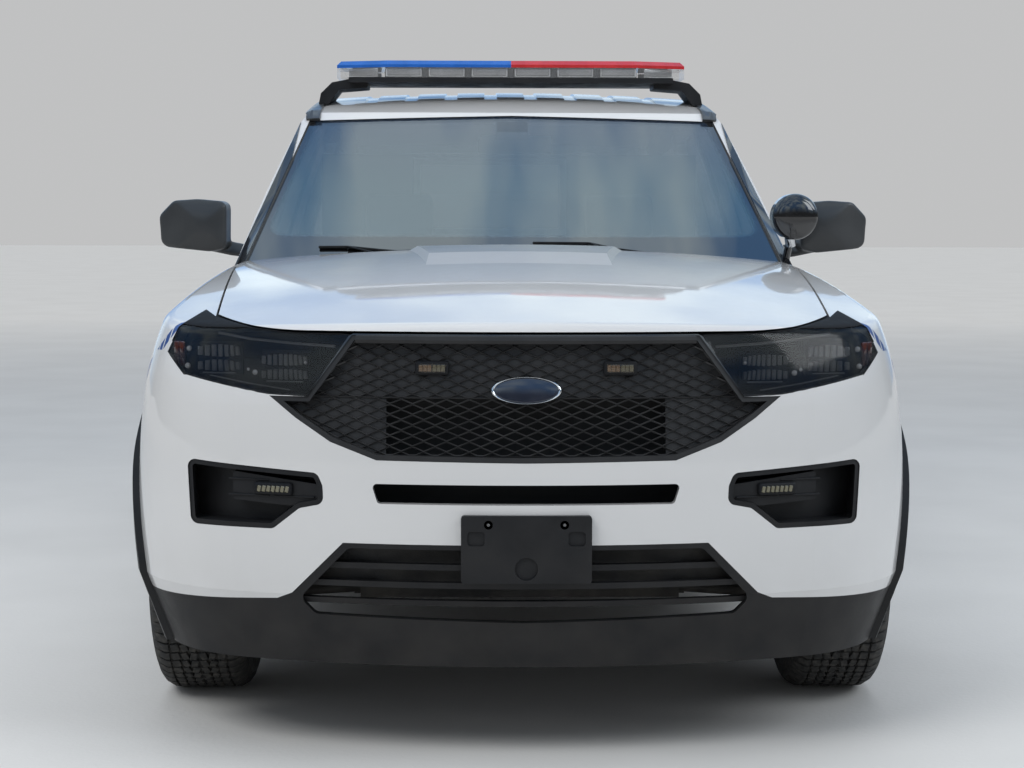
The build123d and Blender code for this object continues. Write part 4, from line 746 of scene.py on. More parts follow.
def grille_mesh(bar):
    """The diamond lattice laid on the nose's cone, with bars of real thickness."""
    mesh = join("grille_lattice", [lattice("upper", UPPER_FIELD), lattice("lower", LOWER_FIELD)])
    edit(mesh, (bpy.ops.mesh.remove_doubles, {"threshold": 0.0004}))
    low, high = 0.60, 1.10
    middle = (0, NOSE_AXIS_Y, (low + high) / 2)
    radius, top = nose_radius(low) - MESH_DEPTH, nose_radius(high) - MESH_DEPTH
    nose = cylinder("nose", middle, radius, high - low, sides=720, top=top)
    ahead = {"use_project_y": True, "use_positive_direction": True, "use_negative_direction": False}
    modify(mesh, "SHRINKWRAP", target=nose, wrap_method="PROJECT", **ahead)
    bpy.data.objects.remove(nose)
    modify(mesh, "WIREFRAME", thickness=bar, use_even_offset=False, use_boundary=True, offset=0)
    dress(mesh, "grille_black", angle=20)
    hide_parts("grille_mesh")


def grille_lip():
    """The thick upper edge of the grille's frame, spun around the nose's axis."""
    lip = chain("grille_lip", [(0, y, z) for y, z in LIP])
    lip.data.transform(Matrix.Translation((0, -NOSE_AXIS_Y, 0)))
    lip.data.transform(Matrix.Rotation(-LIP_REACH, 4, "Z"))
    spin(lip, 48, 2 * LIP_REACH, -Z)
    lip.data.transform(Matrix.Translation((0, NOSE_AXIS_Y, 0)))
    dress(lip, "grille_frame_black")


def grille_badge(half):
    """The blank oval in the grille, with its bright rim."""
    sides = {"major_radius": 1.0, "minor_radius": 0.055, "major_segments": 96, "minor_segments": 12}
    rim = added("badge_rim", bpy.ops.mesh.primitive_torus_add, rotation=facing(Y), **sides)
    rim.data.transform(Matrix.Diagonal((half - 0.003, 0.10, BADGE_HALF_HEIGHT - 0.002, 1)))
    face = cylinder("badge_face", (0, 0, 0), 1.0, 0.008, -Y, 96)
    face.data.transform(Matrix.Diagonal((half - 0.005, 1, BADGE_HALF_HEIGHT - 0.004, 1)))
    bevel(face, 0.0025, 3)
    place = (0, nose_y(0, BADGE_MIDDLE_Z) - 0.004, BADGE_MIDDLE_Z)
    for piece, finish in ((rim, "chrome"), (face, "badge_blank")):
        piece.data.transform(Matrix.Translation(place) @ Matrix.Rotation(BADGE_LEAN, 4, "X"))
        dress(piece, finish)


def grille_lamp(name, x, z):
    """A small two-tone warning lamp clipped into the mesh."""
    y = nose_y(x, z)
    case = slab(f"{name}_case", (x, y + 0.005, z), (0.080, 0.030, 0.034))
    dress(bevel(case, 0.006, 3), "soft_black")
    lens = slab(f"{name}_lens", (x, y - 0.00925, z), (0.064, 0.0065, 0.021))
    dress(bevel(lens, 0.003, 2), "led_lens")
    for kind, finish, middle in (("near", "led_amber", x - 0.016), ("far", "led", x + 0.016)):
        cells = [
            slab("cell", (middle + shift, y - 0.0105, z), (0.009, 0.003, 0.016)) for shift in (-0.01, 0, 0.01)
        ]
        dress(bevel(join(f"{name}_{kind}_cells", cells), 0.0012, 1), finish)


def make_grille(bar, badge_half):
    grille_mesh(bar)
    grille_lip()
    grille_badge(badge_half)
    for side, sign in SIDES:
        grille_lamp(f"grille_lamp_{side}", sign * LAMP_X, LAMP_Z)


# Headlamps
# x, z, half width, rows as (z shift, height), ribs
REFLECTORS = (
    (0.577, 0.938, 0.052, ((0.016, 0.028), (-0.019, 0.026)), 9),
    (0.742, 0.954, 0.048, ((0.018, 0.030), (-0.018, 0.028)), 7),
)
REFLECTOR_TURN = 0.22
# x, z, radius of small pale balls for the lamp's bolts; their pale colour is a painted glint
GLINTS = (
    (0.524, 0.951, 0.0040),
    (0.647, 0.925, 0.0070),
    (0.664, 0.932, 0.0040),
    (0.820, 0.975, 0.0070),
    (0.822, 0.934, 0.0070),
)
# points (x, z), depth behind the face, width and height
STRIPS = (
    (((0.452, 0.990), (0.560, 0.996), (0.660, 1.004), (0.740, 1.016)), 0.010, 0.008, 0.0055),
    (((0.560, 0.886), (0.660, 0.899), (0.760, 0.915)), 0.014, 0.004, 0.0025),
)
MARKERS = (("amber", 0.838, 0.020), ("red", 0.853, 0.024))
MARKER_TURN = 0.95


def make_headlamps():
    for side, sign in SIDES:
        headlamp_shell(side, sign)
        headlamp_inside(side, sign)


def headlamp_shell(side, sign):
    """The clear lens over the lamp's face and the black tub behind it, from the CAD lamp's faces."""
    node = f"headlamp_{side}"

    def outer(place, normal):
        away = Vector((place.x - sign * 0.45, place.y + 1.6, 0)).normalized()
        return normal.dot(away) > 0.55

    lens = skin(node, f"headlamp_lens_{side}", outer)
    modify(lens, "SOLIDIFY", thickness=0.003, offset=-1)
    dress(lens, "headlamp_lens")
    tub = skin(node, f"headlamp_tub_{side}", lambda place, normal: not outer(place, normal))
    edit(tub, (bpy.ops.mesh.flip_normals, {}))
    modify(tub, "SOLIDIFY", thickness=0.002, offset=-1)
    dress(tub, "lamp_black")
    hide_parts(node)
    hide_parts(node)


def headlamp_inside(side, sign):
    """Ribbed reflectors, small pale balls for bolts whose pale colour is a painted glint, strips along the
    top and foot, and the outer markers.
    """

    def behind(x, z, depth):
        return seen(f"headlamp_{side}", sign * x, z)[0] + Vector((0, depth, 0))

    bright, cases = [], []
    for x, z, *shape in REFLECTORS:
        case, ribs = reflector(behind(x, z, 0.040), sign * REFLECTOR_TURN, *shape)
        cases.append(case)
        bright += ribs
    # Painted glints: small balls in a pale finish stand for the bright spots on the lamp's bolts
    glints = [ball("glint", behind(x, z, 0.016), (size, size, size), 16) for x, z, size in GLINTS]
    strips = []
    for line, depth, width, height in STRIPS:
        strips += beams("strip", [behind(x, z, depth) for x, z in line], width, height)
    for kind, pieces, finish in (
        ("reflector", bright, "grey_trim"),
        ("glints", glints, "bright_trim"),
        ("case", cases, "lamp_black"),
        ("strip", strips, "grey_trim"),
    ):
        dress(join(f"headlamp_{kind}_{side}", pieces), finish)
    for kind, x, width in MARKERS:
        place = behind(x, 0.962, 0.012)
        marker = slab(f"headlamp_{kind}_{side}", place, (width, 0.008, 0.060), (0, 0, sign * MARKER_TURN))
        dress(bevel(marker, 0.003, 2), f"marker_{kind}")


def reflector(middle, turn, half_width, rows, ribs):
    """A concave bowl of upright ribs in two rows, over a dark case, with a bright lower lip."""
    along = Vector((math.cos(turn), math.sin(turn), 0))
    back = Vector((-math.sin(turn), math.cos(turn), 0))
    case = slab("case", middle + back * 0.018, (2 * half_width + 0.018, 0.010, 0.082), (0, 0, turn))
    bright = []
    for shift, height in rows:
        for index in range(ribs):
            share = 2 * index / (ribs - 1) - 1
            depth = 0.012 * (1 - share * share)
            centre = middle + along * share * half_width + back * depth + Z * shift
            size = (1.7 * half_width / ribs, 0.006, height * (1 - 0.30 * share * share))
            bright.append(bevel(slab("rib", centre, size, (0.12, 0, turn - 0.5 * share)), 0.0015, 2))
    low = Z * (rows[1][0] - rows[1][1] * 0.62)
    start, end = [middle + along * share * half_width * 0.86 + low for share in (-1, 1)]
    bright.append(beam("lip", start, end, 0.006, 0.0028))
    return bevel(case, 0.004, 2), bright


# Light bar
BAR_FRONT_Y = -0.130
BAR_REAR_Y = 0.170
BAR_Z = 1.8000
BAR_PITCH = 0.149
BAR_WINDOW = (0.126, 0.030)
BAR_INSET = 0.016


def make_light_bar():
    """Lamps with bright frames, dark dividers, angled ends, and fittings on the tray."""
    width, height = BAR_WINDOW
    frames, lamps, dividers = [], [], []
    for face, face_y in ((-1, BAR_FRONT_Y), (1, BAR_REAR_Y)):
        y = face_y - face * BAR_INSET
        for index in range(6):
            x = (index - 2.5) * BAR_PITCH
            frames.append(bevel(slab("frame", (x, y, BAR_Z), (width, 0.006, height)), 0.0065, 4, 60))
            lamp = slab("lamp", (x, y + face * 0.002, BAR_Z + 0.0015), (width - 0.010, 0.008, height - 0.005))
            lamps.append(bevel(lamp, 0.0060, 4, 60))
        for index in range(5):
            x = (index - 2) * BAR_PITCH
            dividers.append(slab("divider", (x, y, 1.79975), (0.0140, 0.0220, 0.0335)))
        for sign in (1, -1):
            start = Vector((sign * 0.462, y, BAR_Z))
            stop = Vector((sign * 0.565, y - face * 0.060, BAR_Z))
            frames.append(bevel(beam("end", start, stop, 0.005, 0.031), 0.004, 3))
            lamps.append(bevel(beam("end", start + Y * face * 0.002, stop, 0.005, 0.023), 0.004, 3))
    floor = block("floor", (-0.560, -0.100, 1.7825), (0.560, 0.140, 1.7850))
    core = block("core", (-0.440, -0.070, 1.7850), (0.440, 0.110, 1.8150))
    clips = [
        bevel(slab("clip", (x, BAR_FRONT_Y + 0.0065, 1.7720), (0.040, 0.011, 0.006)), 0.002, 2)
        for x in (-0.410, 0.400)
    ]
    for kind, pieces, finish, slot in (
        ("frames", frames, "bright_trim", "clear_lens"),
        ("lamps", lamps, "lamp_grey", "clear_lens"),
        ("dividers", dividers, "soft_black", "black_plastic"),
        ("core", [floor, core], "soft_black", "black_plastic"),
        ("clips", clips, "bright_trim", "black_plastic"),
    ):
        dress(join(f"light_bar_{kind}", pieces), finish)


# Windscreen and cabin
# Each blade from its tip to its heel as (x, z), and the pivot
WIPERS = (
    (((-0.610, 1.199), (-0.520, 1.200), (-0.420, 1.191), (-0.250, 1.178)), (-0.290, 1.170)),
    (((0.055, 1.214), (0.230, 1.213), (0.310, 1.196), (0.450, 1.178)), (0.380, 1.170)),
)


def make_wipers():
    """Two wiper arms with their blades, parked at the windscreen's foot."""
    for index, (line, pivot) in enumerate(WIPERS):
        spots = [seen("windscreen", x, z) for x, z in line]
        points = [place + normal * 0.006 for place, normal in spots]
        blades = beams("blade", points, 0.010, 0.009)
        foot = seen("windscreen", *pivot)[0] + Vector((0, -0.024, -0.014))
        top = points[1] + spots[1][1] * 0.008 - Z * 0.004
        arm = beam("arm", foot, top, 0.012, 0.006)
        knob = cylinder("knob", foot, 0.016, 0.030, (0, -0.5, 1), 24)
        pieces = [bevel(join("blades", blades), 0.002, 1), bevel(arm, 0.003, 2), bevel(knob, 0.003, 2)]
        dress(join(f"wiper_{index + 1}", pieces), "wiper_rubber")


# Low x and z, high x and z of the bars around the partition's window
PARTITION_BARS = (
    (-0.352, 1.233, 0.212, 1.259),
    (-0.352, 1.491, 0.212, 1.517),
    (-0.352, 1.255, -0.326, 1.495),
    (0.186, 1.255, 0.212, 1.495),
)
PARTITION_Y = (0.292, 0.299)
VENT_X = (-0.62, -0.16, 0.16, 0.62)


def make_cabin():
    """The inner mirror and its cover, the partition's window frame, vents, screen and cluster hood."""
    y = seen("windscreen", 0, 1.575)[0].y
    cover = slab("sensor_cover", (0, y + 0.055, 1.588), (0.110, 0.070, 0.035), (0.62, 0, 0))
    dress(bevel(cover, 0.008, 3), "cabin_plastic")
    mirror = slab("inner_mirror", (0.010, y + 0.125, 1.545), (0.250, 0.022, 0.062), (0.15, 0, 0.10))
    dress(bevel(mirror, 0.010, 4), "cabin_plastic")
    near, far = PARTITION_Y
    bars = [
        block("bar", (low_x, near, low_z), (high_x, far, high_z))
        for low_x, low_z, high_x, high_z in PARTITION_BARS
    ]
    dress(bevel(join("partition_frame", bars), 0.003, 2), "pale_frame")
    details = [bevel(slab("vent", (x, -0.557, 1.0225), (0.110, 0.018, 0.065)), 0.006, 2) for x in VENT_X]
    details.append(bevel(slab("screen", (0, -0.560, 0.88), (0.230, 0.030, 0.160)), 0.006, 2))
    dress(join("dash_details", details), "gloss_black")
    hood = ball("cluster_hood", (0.400, -0.650, 1.085), (0.170, 0.095, 0.050), 32)
    cut(hood, (Z * 1.080, -Z))
    modify(hood, "SOLIDIFY", thickness=0.006, offset=-1)
    dress(hood, "cabin_plastic")


# Seats
def cushion(name, low, high, channels, across, swell=0.012):
    """A padded form: crowned faces, sides drawn in between the corners, and sewn channels."""
    obj = block(name, low, high)
    bevel(obj, min(Vector(high) - Vector(low)) * 0.22, 4, 30)
    modify(obj, "REMESH", mode="VOXEL", voxel_size=0.012)
    puff(obj, swell)
    smooth(obj, 60)
    for x in channels:
        seam(obj, X * x, X)
    for distance, axis in across:
        seam(obj, axis * distance, axis)
    return obj


def puff(obj, swell):
    """Inflates a cushion with a short pressure simulation and limits how far it moved."""
    rest = [vertex.co.copy() for vertex in obj.data.vertices]
    only(obj)
    cloth = obj.modifiers.new("Cloth", "CLOTH")
    cloth.settings.use_pressure = True
    cloth.settings.uniform_pressure_force = 4.0
    cloth.settings.effector_weights.gravity = 0.0
    scene = bpy.context.scene
    for frame_number in range(1, 13):
        scene.frame_set(frame_number)
    bpy.ops.object.modifier_apply(modifier=cloth.name)
    scene.frame_set(1)
    for vertex, start in zip(obj.data.vertices, rest):
        shift = vertex.co - start
        if shift.length > swell:
            vertex.co = start + shift.normalized() * swell


def seam(obj, point, normal):
    """Presses a sewn channel into a cushion along a plane."""
    edit(
        obj,
        (bpy.ops.mesh.bisect, {"plane_co": point, "plane_no": normal, "use_fill": False}),
        (bpy.ops.mesh.select_mode, {"type": "VERT"}),
        (bpy.ops.transform.shrink_fatten, {"value": -0.006}),
    )


# Name, corners from the seat's middle, seams at these x, seams across, how far the pad swells
SEAT_PADS = (
    ("cushion", (-0.238, -0.428, 0.575), (0.238, 0.045, 0.690), (-0.140, 0.140), ((-0.150, Y),), 0.012),
    ("back", (-0.230, 0.020, 0.680), (0.230, 0.125, 1.225), (-0.135, 0.135), ((0.95, Z),), 0.012),
    ("head", (-0.122, 0.036, 1.250), (0.122, 0.118, 1.408), (), (), 0.008),
)
SEAT_X = 0.400
SEAT_PIVOT = (0.015, 0.665)
SEAT_RECLINE = -12
BENCH_SEAMS = (-0.200, 0.200)
BENCH_PIVOT = (0.840, 0.650)
BENCH_RECLINE = -14


def reclined(x, pivot, degrees):
    """Turns a back about the line across the car at (y, z)."""
    to_pivot = Matrix.Translation((x, *pivot))
    return to_pivot @ Matrix.Rotation(math.radians(degrees), 4, "X") @ to_pivot.inverted()


def front_seat(side, x):
    """A seat's three pads, its posts and the plinth below."""
    pads = []
    for name, low, high, channels, across, swell in SEAT_PADS:
        corners = (x + low[0], *low[1:]), (x + high[0], *high[1:])
        pads.append(cushion(f"seat_{name}_{side}", *corners, [x + at for at in channels], across, swell))
    posts = [cylinder("post", (x + at, 0.077, 1.245), 0.007, 0.09) for at in (-0.06, 0.06)]
    post = join(f"seat_posts_{side}", posts)
    for piece in (*pads[1:], post):
        piece.data.transform(reclined(x, SEAT_PIVOT, SEAT_RECLINE))
    dress(post, "chrome")
    plinth = block(f"seat_base_{side}", (x - 0.188, -0.398, 0.341), (x + 0.188, 0.018, 0.575))
    dress(bevel(plinth, 0.015, 3), "cabin_plastic")
    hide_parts("front_seats")
    return pads


def make_seats():
    """Padded front seats and the rear bench."""
    pads = []
    for side, sign in SIDES:
        pads += front_seat(side, sign * SEAT_X)
    bench = cushion("bench_cushion", (-0.605, 0.455, 0.360), (0.605, 0.885, 0.628), BENCH_SEAMS, ())
    back = cushion("bench_back", (-0.605, 0.850, 0.655), (0.605, 0.935, 1.190), BENCH_SEAMS, ((0.93, Z),))
    back.data.transform(reclined(0, BENCH_PIVOT, BENCH_RECLINE))
    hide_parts("rear_bench")
    for piece in pads + [bench, back]:
        modify(piece, "SUBSURF", levels=1, render_levels=1)
        dress(piece, "seat_fabric", angle=60)


# Side trim
HANDLE_Z = 0.993
BELT_Z = (1.118, 1.138)
ROOF_STRIP_X = (0.652, 0.700)
ROOF_STRIP_Y = (-0.40, 2.05)
FLAP_Y = (1.86, 2.03)
FLAP_Z = (0.86, 1.02)
PILLAR_STRIP = 0.030
PILLAR_TOP_Z = 1.625
MIRROR_GLASS = (
    (0.926, 1.216), (0.926, 1.334), (0.940, 1.343), (1.072, 1.338),
    (1.108, 1.304), (1.100, 1.222), (1.060, 1.208), (0.960, 1.203),
)
MIRROR_GLASS_Y = (-0.6690, -0.6630)


def door_trim(door, side, sign, y):
    """A door's pull handle and the moulding below its window."""
    node = f"{door}_door_{side}"
    x = hit(node, (sign * 1.4, y, 0.992), (-sign, 0, 0))[0].x
    parts = [slab("pull", (x + sign * 0.034, y, HANDLE_Z), (0.020, 0.170, 0.026))]
    for shift in (-0.072, 0.072):
        parts.append(slab("end", (x + sign * 0.016, y + shift, HANDLE_Z), (0.024, 0.032, 0.024)))
    dress(bevel(join(f"{door}_handle_{side}", parts), 0.007, 3), "white_paint", node)

    def outside(place, normal):
        return normal.x * sign > 0.5 and place.z > 0.9

    band(node, f"{door}_belt_{side}", outside, span(Z, *BELT_Z), 0.004, "satin_black", node)


def body_mouldings(side, sign):
    """The roof's side strip and the black strip on the windscreen's pillar."""
    node = f"body_side_{side}"

    def roof(place, normal):
        return normal.z > 0.4 and place.z > 1.60 and normal.x * sign > -0.05

    limits = span(X * sign, *ROOF_STRIP_X) + span(Y, *ROOF_STRIP_Y)
    band(node, f"roof_strip_{side}", roof, limits, 0.010, "satin_black", rise=0.8)

    def pillar(place, normal):
        return place.y < -0.30 and place.z > 1.08 and normal.y < -0.12 and normal.x * sign > -0.5

    slope = Vector((sign, 0, FRIT_LEAN))
    edge = Vector((sign * (FRIT_TOP - 0.004), 0, 0))
    limits = ((edge, -slope), (edge + X * sign * PILLAR_STRIP, slope), (Z * PILLAR_TOP_Z, Z))
    band(node, f"pillar_moulding_{side}", pillar, limits, 0.005, "moulding_black", rise=0.8)


def door_mirror(side, sign):
    """The CAD housing with its ridges rounded off, and the glass."""
    node = f"mirror_{side}"
    housing = skin(node, f"mirror_housing_{side}", lambda place, normal: True)
    modify(housing, "REMESH", mode="VOXEL", voxel_size=0.004)
    modify(housing, "SMOOTH", factor=0.6, iterations=14)
    dress(housing, "mirror_black", f"front_door_{side}", 60)
    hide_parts(node)
    start, stop = MIRROR_GLASS_Y
    points = [(sign * x, start, z) for x, z in MIRROR_GLASS]
    glass = prism(f"mirror_glass_{side}", points, (0, stop - start, 0))
    dress(bevel(glass, 0.0015, 2), "mirror_silver", f"front_door_{side}")


def make_side_trim():
    """Door handles, mouldings, mirrors and the fuel flap."""
    for side, sign in SIDES:
        for door, y in (("front", 0.020), ("rear", 0.985)):
            door_trim(door, side, sign, y)
        body_mouldings(side, sign)
        door_mirror(side, sign)
    flap = skin("body_side_left", "fuel_flap", lambda place, normal: normal.x > 0.6 and place.z < 1.2)
    cut(flap, *span(Y, *FLAP_Y), *span(Z, *FLAP_Z))
    modify(flap, "SOLIDIFY", thickness=0.002, offset=0.5)
    dress(flap, "white_paint")


# Front and rear trim
PLATE_BOLTS_X = (-0.089, 0.089)
FRONT_BOLTS_Z = 0.581
REAR_BOLTS_Z = 0.900
FOG_TURN = 0.30
FOG_CELLS = 7
FOG_CELL_PITCH = 0.0118
APPLIQUE_X = (-0.700, 0.700)
APPLIQUE_Z = (1.000, 1.060)


def fog_lamp(side, sign):
    """A row of cells in a dark case, between the tray's ribs."""
    turn = sign * FOG_TURN
    place = seen("fog_lamps", sign * 0.600, 0.652)[0]
    case = slab(f"fog_case_{side}", place - Y * 0.004, (0.098, 0.020, 0.030), (0, 0, turn))
    dress(bevel(case, 0.006, 3), "soft_black")
    along = Vector((math.cos(turn), math.sin(turn), 0)) * FOG_CELL_PITCH
    spots = [place - Y * 0.013 + along * (index - FOG_CELLS // 2) for index in range(FOG_CELLS)]
    cells = [bevel(slab("cell", spot, (0.0092, 0.006, 0.015), (0, 0.2, turn)), 0.0014, 1) for spot in spots]
    dress(join(f"fog_cells_{side}", cells), "led")
    ribs = []
    for z in (0.634, 0.672):
        for x in (0.55, 0.66):
            spot = seen("fog_lamps", sign * x, z)[0] - Y * 0.001
            ribs.append(slab("rib", spot, (0.105, 0.006, 0.004), (0, 0, turn)))
    dress(bevel(join(f"fog_ribs_{side}", ribs), 0.001, 1), "black_plastic")


def make_front_trim():
    """Plate bolts, fog lamps, and the spotlight's dome and collar."""
    bolts = []
    for x in PLATE_BOLTS_X:
        bolts.append(cylinder("washer", (x, -2.5365, FRONT_BOLTS_Z), 0.0105, 0.0010, -Y, 24))
        bolts.append(bevel(cylinder("head", (x, -2.5340, FRONT_BOLTS_Z), 0.0062, 0.0050, -Y, 6), 0.0008, 1))
    dress(join("plate_bolts", bolts), "steel")
    for side, sign in SIDES:
        fog_lamp(side, sign)
    dome = ball("spotlight_dome", (0.875, -0.9060, 1.302), (0.060, 0.016, 0.060), 48)
    dress(dome, "gloss_black")
    collar = cylinder("spotlight_collar", (0.868, -0.845, 1.225), 0.017, 0.030, (0.2, 0.45, -1), 24)
    dress(bevel(collar, 0.003, 2), "chrome")


def make_rear_trim():
    """Liftgate applique, blank plate with its bolts, and the rear wiper."""
    limits = span(Z, *APPLIQUE_Z) + span(X, *APPLIQUE_X)

    def outside(place, normal):
        return normal.y > 0.6 and place.z < 1.3

    band("liftgate", "liftgate_applique", outside, limits, 0.006, "gloss_black", "liftgate")
    plate = block("rear_plate", (-0.152, 2.4845, 0.790), (0.152, 2.4865, 0.918))
    dress(bevel(plate, 0.0008, 1), "plate_blank", "liftgate")
    bolts = [cylinder("bolt", (x, 2.4880, REAR_BOLTS_Z), 0.0060, 0.0040, Y, 6) for x in PLATE_BOLTS_X]
    dress(join("rear_plate_bolts", bolts), "steel", "liftgate")
    start = seen("liftgate_glass", 0, 1.20, -1)[0] + Y * 0.012
    stop = seen("liftgate_glass", 0.36, 1.235, -1)[0] + Y * 0.010
    arm = bevel(beam("arm", start, stop, 0.010, 0.016), 0.003, 2)
    knob = bevel(cylinder("knob", start, 0.022, 0.020, Y, 24), 0.003, 2)
    dress(join("rear_wiper", [arm, knob]), "wiper_rubber", "liftgate")


# CAD nodes that show as they are
NODE_FINISHES = {
    "white_paint": "hood roof_panel liftgate",
    "rear_bumper_paint": "rear_bumper",
    "bumper_paint": "front_bumper",
    "banded_paint": "fender_left fender_right front_door_left front_door_right rear_door_left rear_door_right"
    " body_side_left body_side_right",
    "black_plastic": "front_valance fog_lamps plate_bracket cowl_panel side_cladding light_bar_base",
    "grille_frame_black": "grille_frame",
    "mirror_black": "mirror_left mirror_right",
    "red_lens": "tail_lamps light_bar_red",
    "blue_lens": "light_bar_blue",
    "clear_lens": "light_bar_lens",
    "windscreen_glass": "windscreen",
    "glass": "quarter_glass liftgate_glass front_door_glass_left front_door_glass_right rear_door_glass_left"
    " rear_door_glass_right",
    "dark_paint": "floor_pan front_frame front_subframe rear_subframe",
    "steel": "exhaust knuckle_left knuckle_right",
    # The radiator's near-black is partly its own colour, partly painted shade behind the grille
    "core_black": "radiator",
    "cast_metal": "engine",
    "cabin_plastic": "dashboard steering_wheel",
    "partition_steel": "partition",
    "gloss_black": "spotlight",
    "satin_black": "rim_front_left rim_front_right rim_rear_left rim_rear_right",
    "tyre": "tyre_front_left tyre_front_right tyre_rear_left tyre_rear_right",
    "seat_fabric": "front_seats rear_bench",
    "headlamp_lens": "headlamp_left headlamp_right",
    "grille_black": "grille_mesh",
}


def dress_frame():
    for finish, names in NODE_FINISHES.items():
        for name in names.split():
            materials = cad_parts[name].data.materials
            materials.clear()
            materials.append(FINISHES[finish])


# Studio
CAMERA_PLACE = (-0.1132, -7.2068, 1.2894)
CAMERA_YAW = math.radians(0.962)
CAMERA_PITCH = math.radians(-4.631)
CAMERA_ROLL = math.radians(0.138)
CAMERA_LENS = 71.1
# Name, place, target, size, share of the key lamp's power, colour, seen in mirrors
LAMPS = (
    ("key", (-4.5, -6.0, 6.5), (0, -0.8, 0.8), (5.0, 3.5), 1.0, (1.0, 0.985, 0.96), False),
    ("fill", (5.5, -4.0, 4.5), (0, -0.5, 0.8), (4.0, 3.0), 0.45, (0.95, 0.98, 1.0), True),
    ("top", (0, 0.5, 7.0), (0, 0.5, 0), (7.0, 8.0), 0.6, (1.0, 1.0, 1.0), False),
)


def aim_camera():
    """The photograph's own camera, as it was solved from the car's known sizes."""
    level = Vector((math.sin(CAMERA_YAW), math.cos(CAMERA_YAW), 0))
    ahead = level * math.cos(CAMERA_PITCH) + Z * math.sin(CAMERA_PITCH)
    across = Vector((math.cos(CAMERA_YAW), -math.sin(CAMERA_YAW), 0))
    up = across.cross(ahead)
    right = across * math.cos(CAMERA_ROLL) + up * math.sin(CAMERA_ROLL)
    top = up * math.cos(CAMERA_ROLL) - across * math.sin(CAMERA_ROLL)
    data = bpy.data.cameras.new("camera")
    data.lens = CAMERA_LENS
    data.clip_end = 100
    camera = linked("camera", data)
    turn = Matrix((right, top, -ahead)).transposed().to_4x4()
    camera.matrix_world = Matrix.Translation(CAMERA_PLACE) @ turn
    bpy.context.scene.camera = camera


def area_lamp(name, place, target, size, power, colour, mirrored):
    data = bpy.data.lights.new(name, "AREA")
    data.shape = "RECTANGLE"
    data.size, data.size_y = size
    data.energy = power
    data.color = colour
    lamp = linked(name, data)
    lamp.location = place
    lamp.rotation_euler = (Vector(target) - Vector(place)).to_track_quat("-Z", "Y").to_euler()
    lamp.visible_glossy = mirrored
    return lamp


def make_stage(key_power, sky_strength):
    scene = bpy.context.scene
    scene.view_settings.view_transform = "Standard"
    floor = added("studio_floor", bpy.ops.mesh.primitive_plane_add, size=600)
    floor.data.materials.append(FINISHES["floor"])
    aim_camera()
    for name, place, target, size, share, colour, mirrored in LAMPS:
        area_lamp(name, place, target, size, key_power * share, colour, mirrored)
    scene.world = bpy.data.worlds.new("studio")
    scene.world.use_nodes = True
    paint_sky(scene.world.node_tree, sky_strength)


def paint_sky(tree, strength):
    """A pale studio backdrop; mirror-like surfaces see a cloudy sky and dim ground in front."""
    graph = Graph(tree, "Generated")
    clouds = graph.between(graph.noise(4.5, 4.0), 0.42, 0.60)
    sky = graph.mix(clouds, (0.26, 0.55, 1.05), (1.35, 1.60, 1.75))
    ahead = graph.between(graph.axis("Y"), 0.72, 0.92, 1.0, 0.0)
    low = graph.between(graph.axis("Z"), 0.12, 0.34, 1.0, 0.0)
    mirrored = graph.mix(graph.product(ahead, low), sky, (0.10, 0.11, 0.11))
    light = graph.mix(graph.between(graph.axis("Z"), 0.0, 1.0), (0.74, 0.74, 0.74), (0.56, 0.64, 0.75))
    rays = graph.node("ShaderNodeLightPath").outputs
    backdrop = graph.mix(rays["Is Camera Ray"], light, (0.78, 0.785, 0.79))
    back = tree.nodes["Background"].inputs
    graph.put(back["Color"], graph.mix(rays["Is Glossy Ray"], backdrop, mirrored))
    graph.put(back["Strength"], strength)


# Add-on
class PaintSettings(bpy.types.PropertyGroup):
    body: bpy.props.FloatVectorProperty(
        name="Body",
        description="Colour of the body's paint",
        default=(0.62, 0.625, 0.63),
        min=0.0,
        max=1.0,
        subtype="COLOR",
    )
    bars: bpy.props.FloatVectorProperty(
        name="Bars",
        description="Colour of the slanted bars along the sides",
        default=(0.010, 0.048, 0.21),
        min=0.0,
        max=1.0,
        subtype="COLOR",
    )


class WheelSettings(bpy.types.PropertyGroup):
    lug_nuts: bpy.props.IntProperty(
        name="Lug nuts",
        description="Nuts around the middle of each wheel",
        default=5,
        min=3,
        max=8,
    )


class GrilleSettings(bpy.types.PropertyGroup):
    bar: bpy.props.FloatProperty(
        name="Mesh bar",
        description="Thickness of the grille's diamond bars",
        default=0.0062,
        min=0.002,
        max=0.01,
        unit="LENGTH",
    )
    badge_half: bpy.props.FloatProperty(
        name="Badge half width",
        description="Half the width of the blank oval in the grille",
        default=0.082,
        min=0.04,
        max=0.1,
        unit="LENGTH",
    )


class StudioSettings(bpy.types.PropertyGroup):
    key_power: bpy.props.FloatProperty(
        name="Key lamp",
        description="Power of the main lamp, which the other lamps follow",
        default=300.0,
        min=0.0,
        max=3000.0,
        unit="POWER",
    )
    sky_strength: bpy.props.FloatProperty(
        name="Sky",
        description="Strength of the light from the backdrop",
        default=0.68,
        min=0.0,
        max=5.0,
    )


GROUPS = (
    ("patrol_paint", PaintSettings),
    ("patrol_wheels", WheelSettings),
    ("patrol_grille", GrilleSettings),
    ("patrol_studio", StudioSettings),
)


class PATROL_OT_finishes(bpy.types.Operator):
    """Make the finishes and give the CAD nodes theirs."""

    bl_idname = "patrol.finishes"
    bl_label = "Finishes"
    bl_options = {"REGISTER", "UNDO"}

    def execute(self, context):
        settings = context.scene.patrol_paint
        make_finishes(tuple(settings.body), tuple(settings.bars))
        dress_frame()
        return {"FINISHED"}


class PATROL_OT_tyres(bpy.types.Operator):
    """Model the treaded tyres."""

    bl_idname = "patrol.tyres"
    bl_label = "Tyres"
    bl_options = {"REGISTER", "UNDO"}

    def execute(self, context):
        make_tyres()
        return {"FINISHED"}


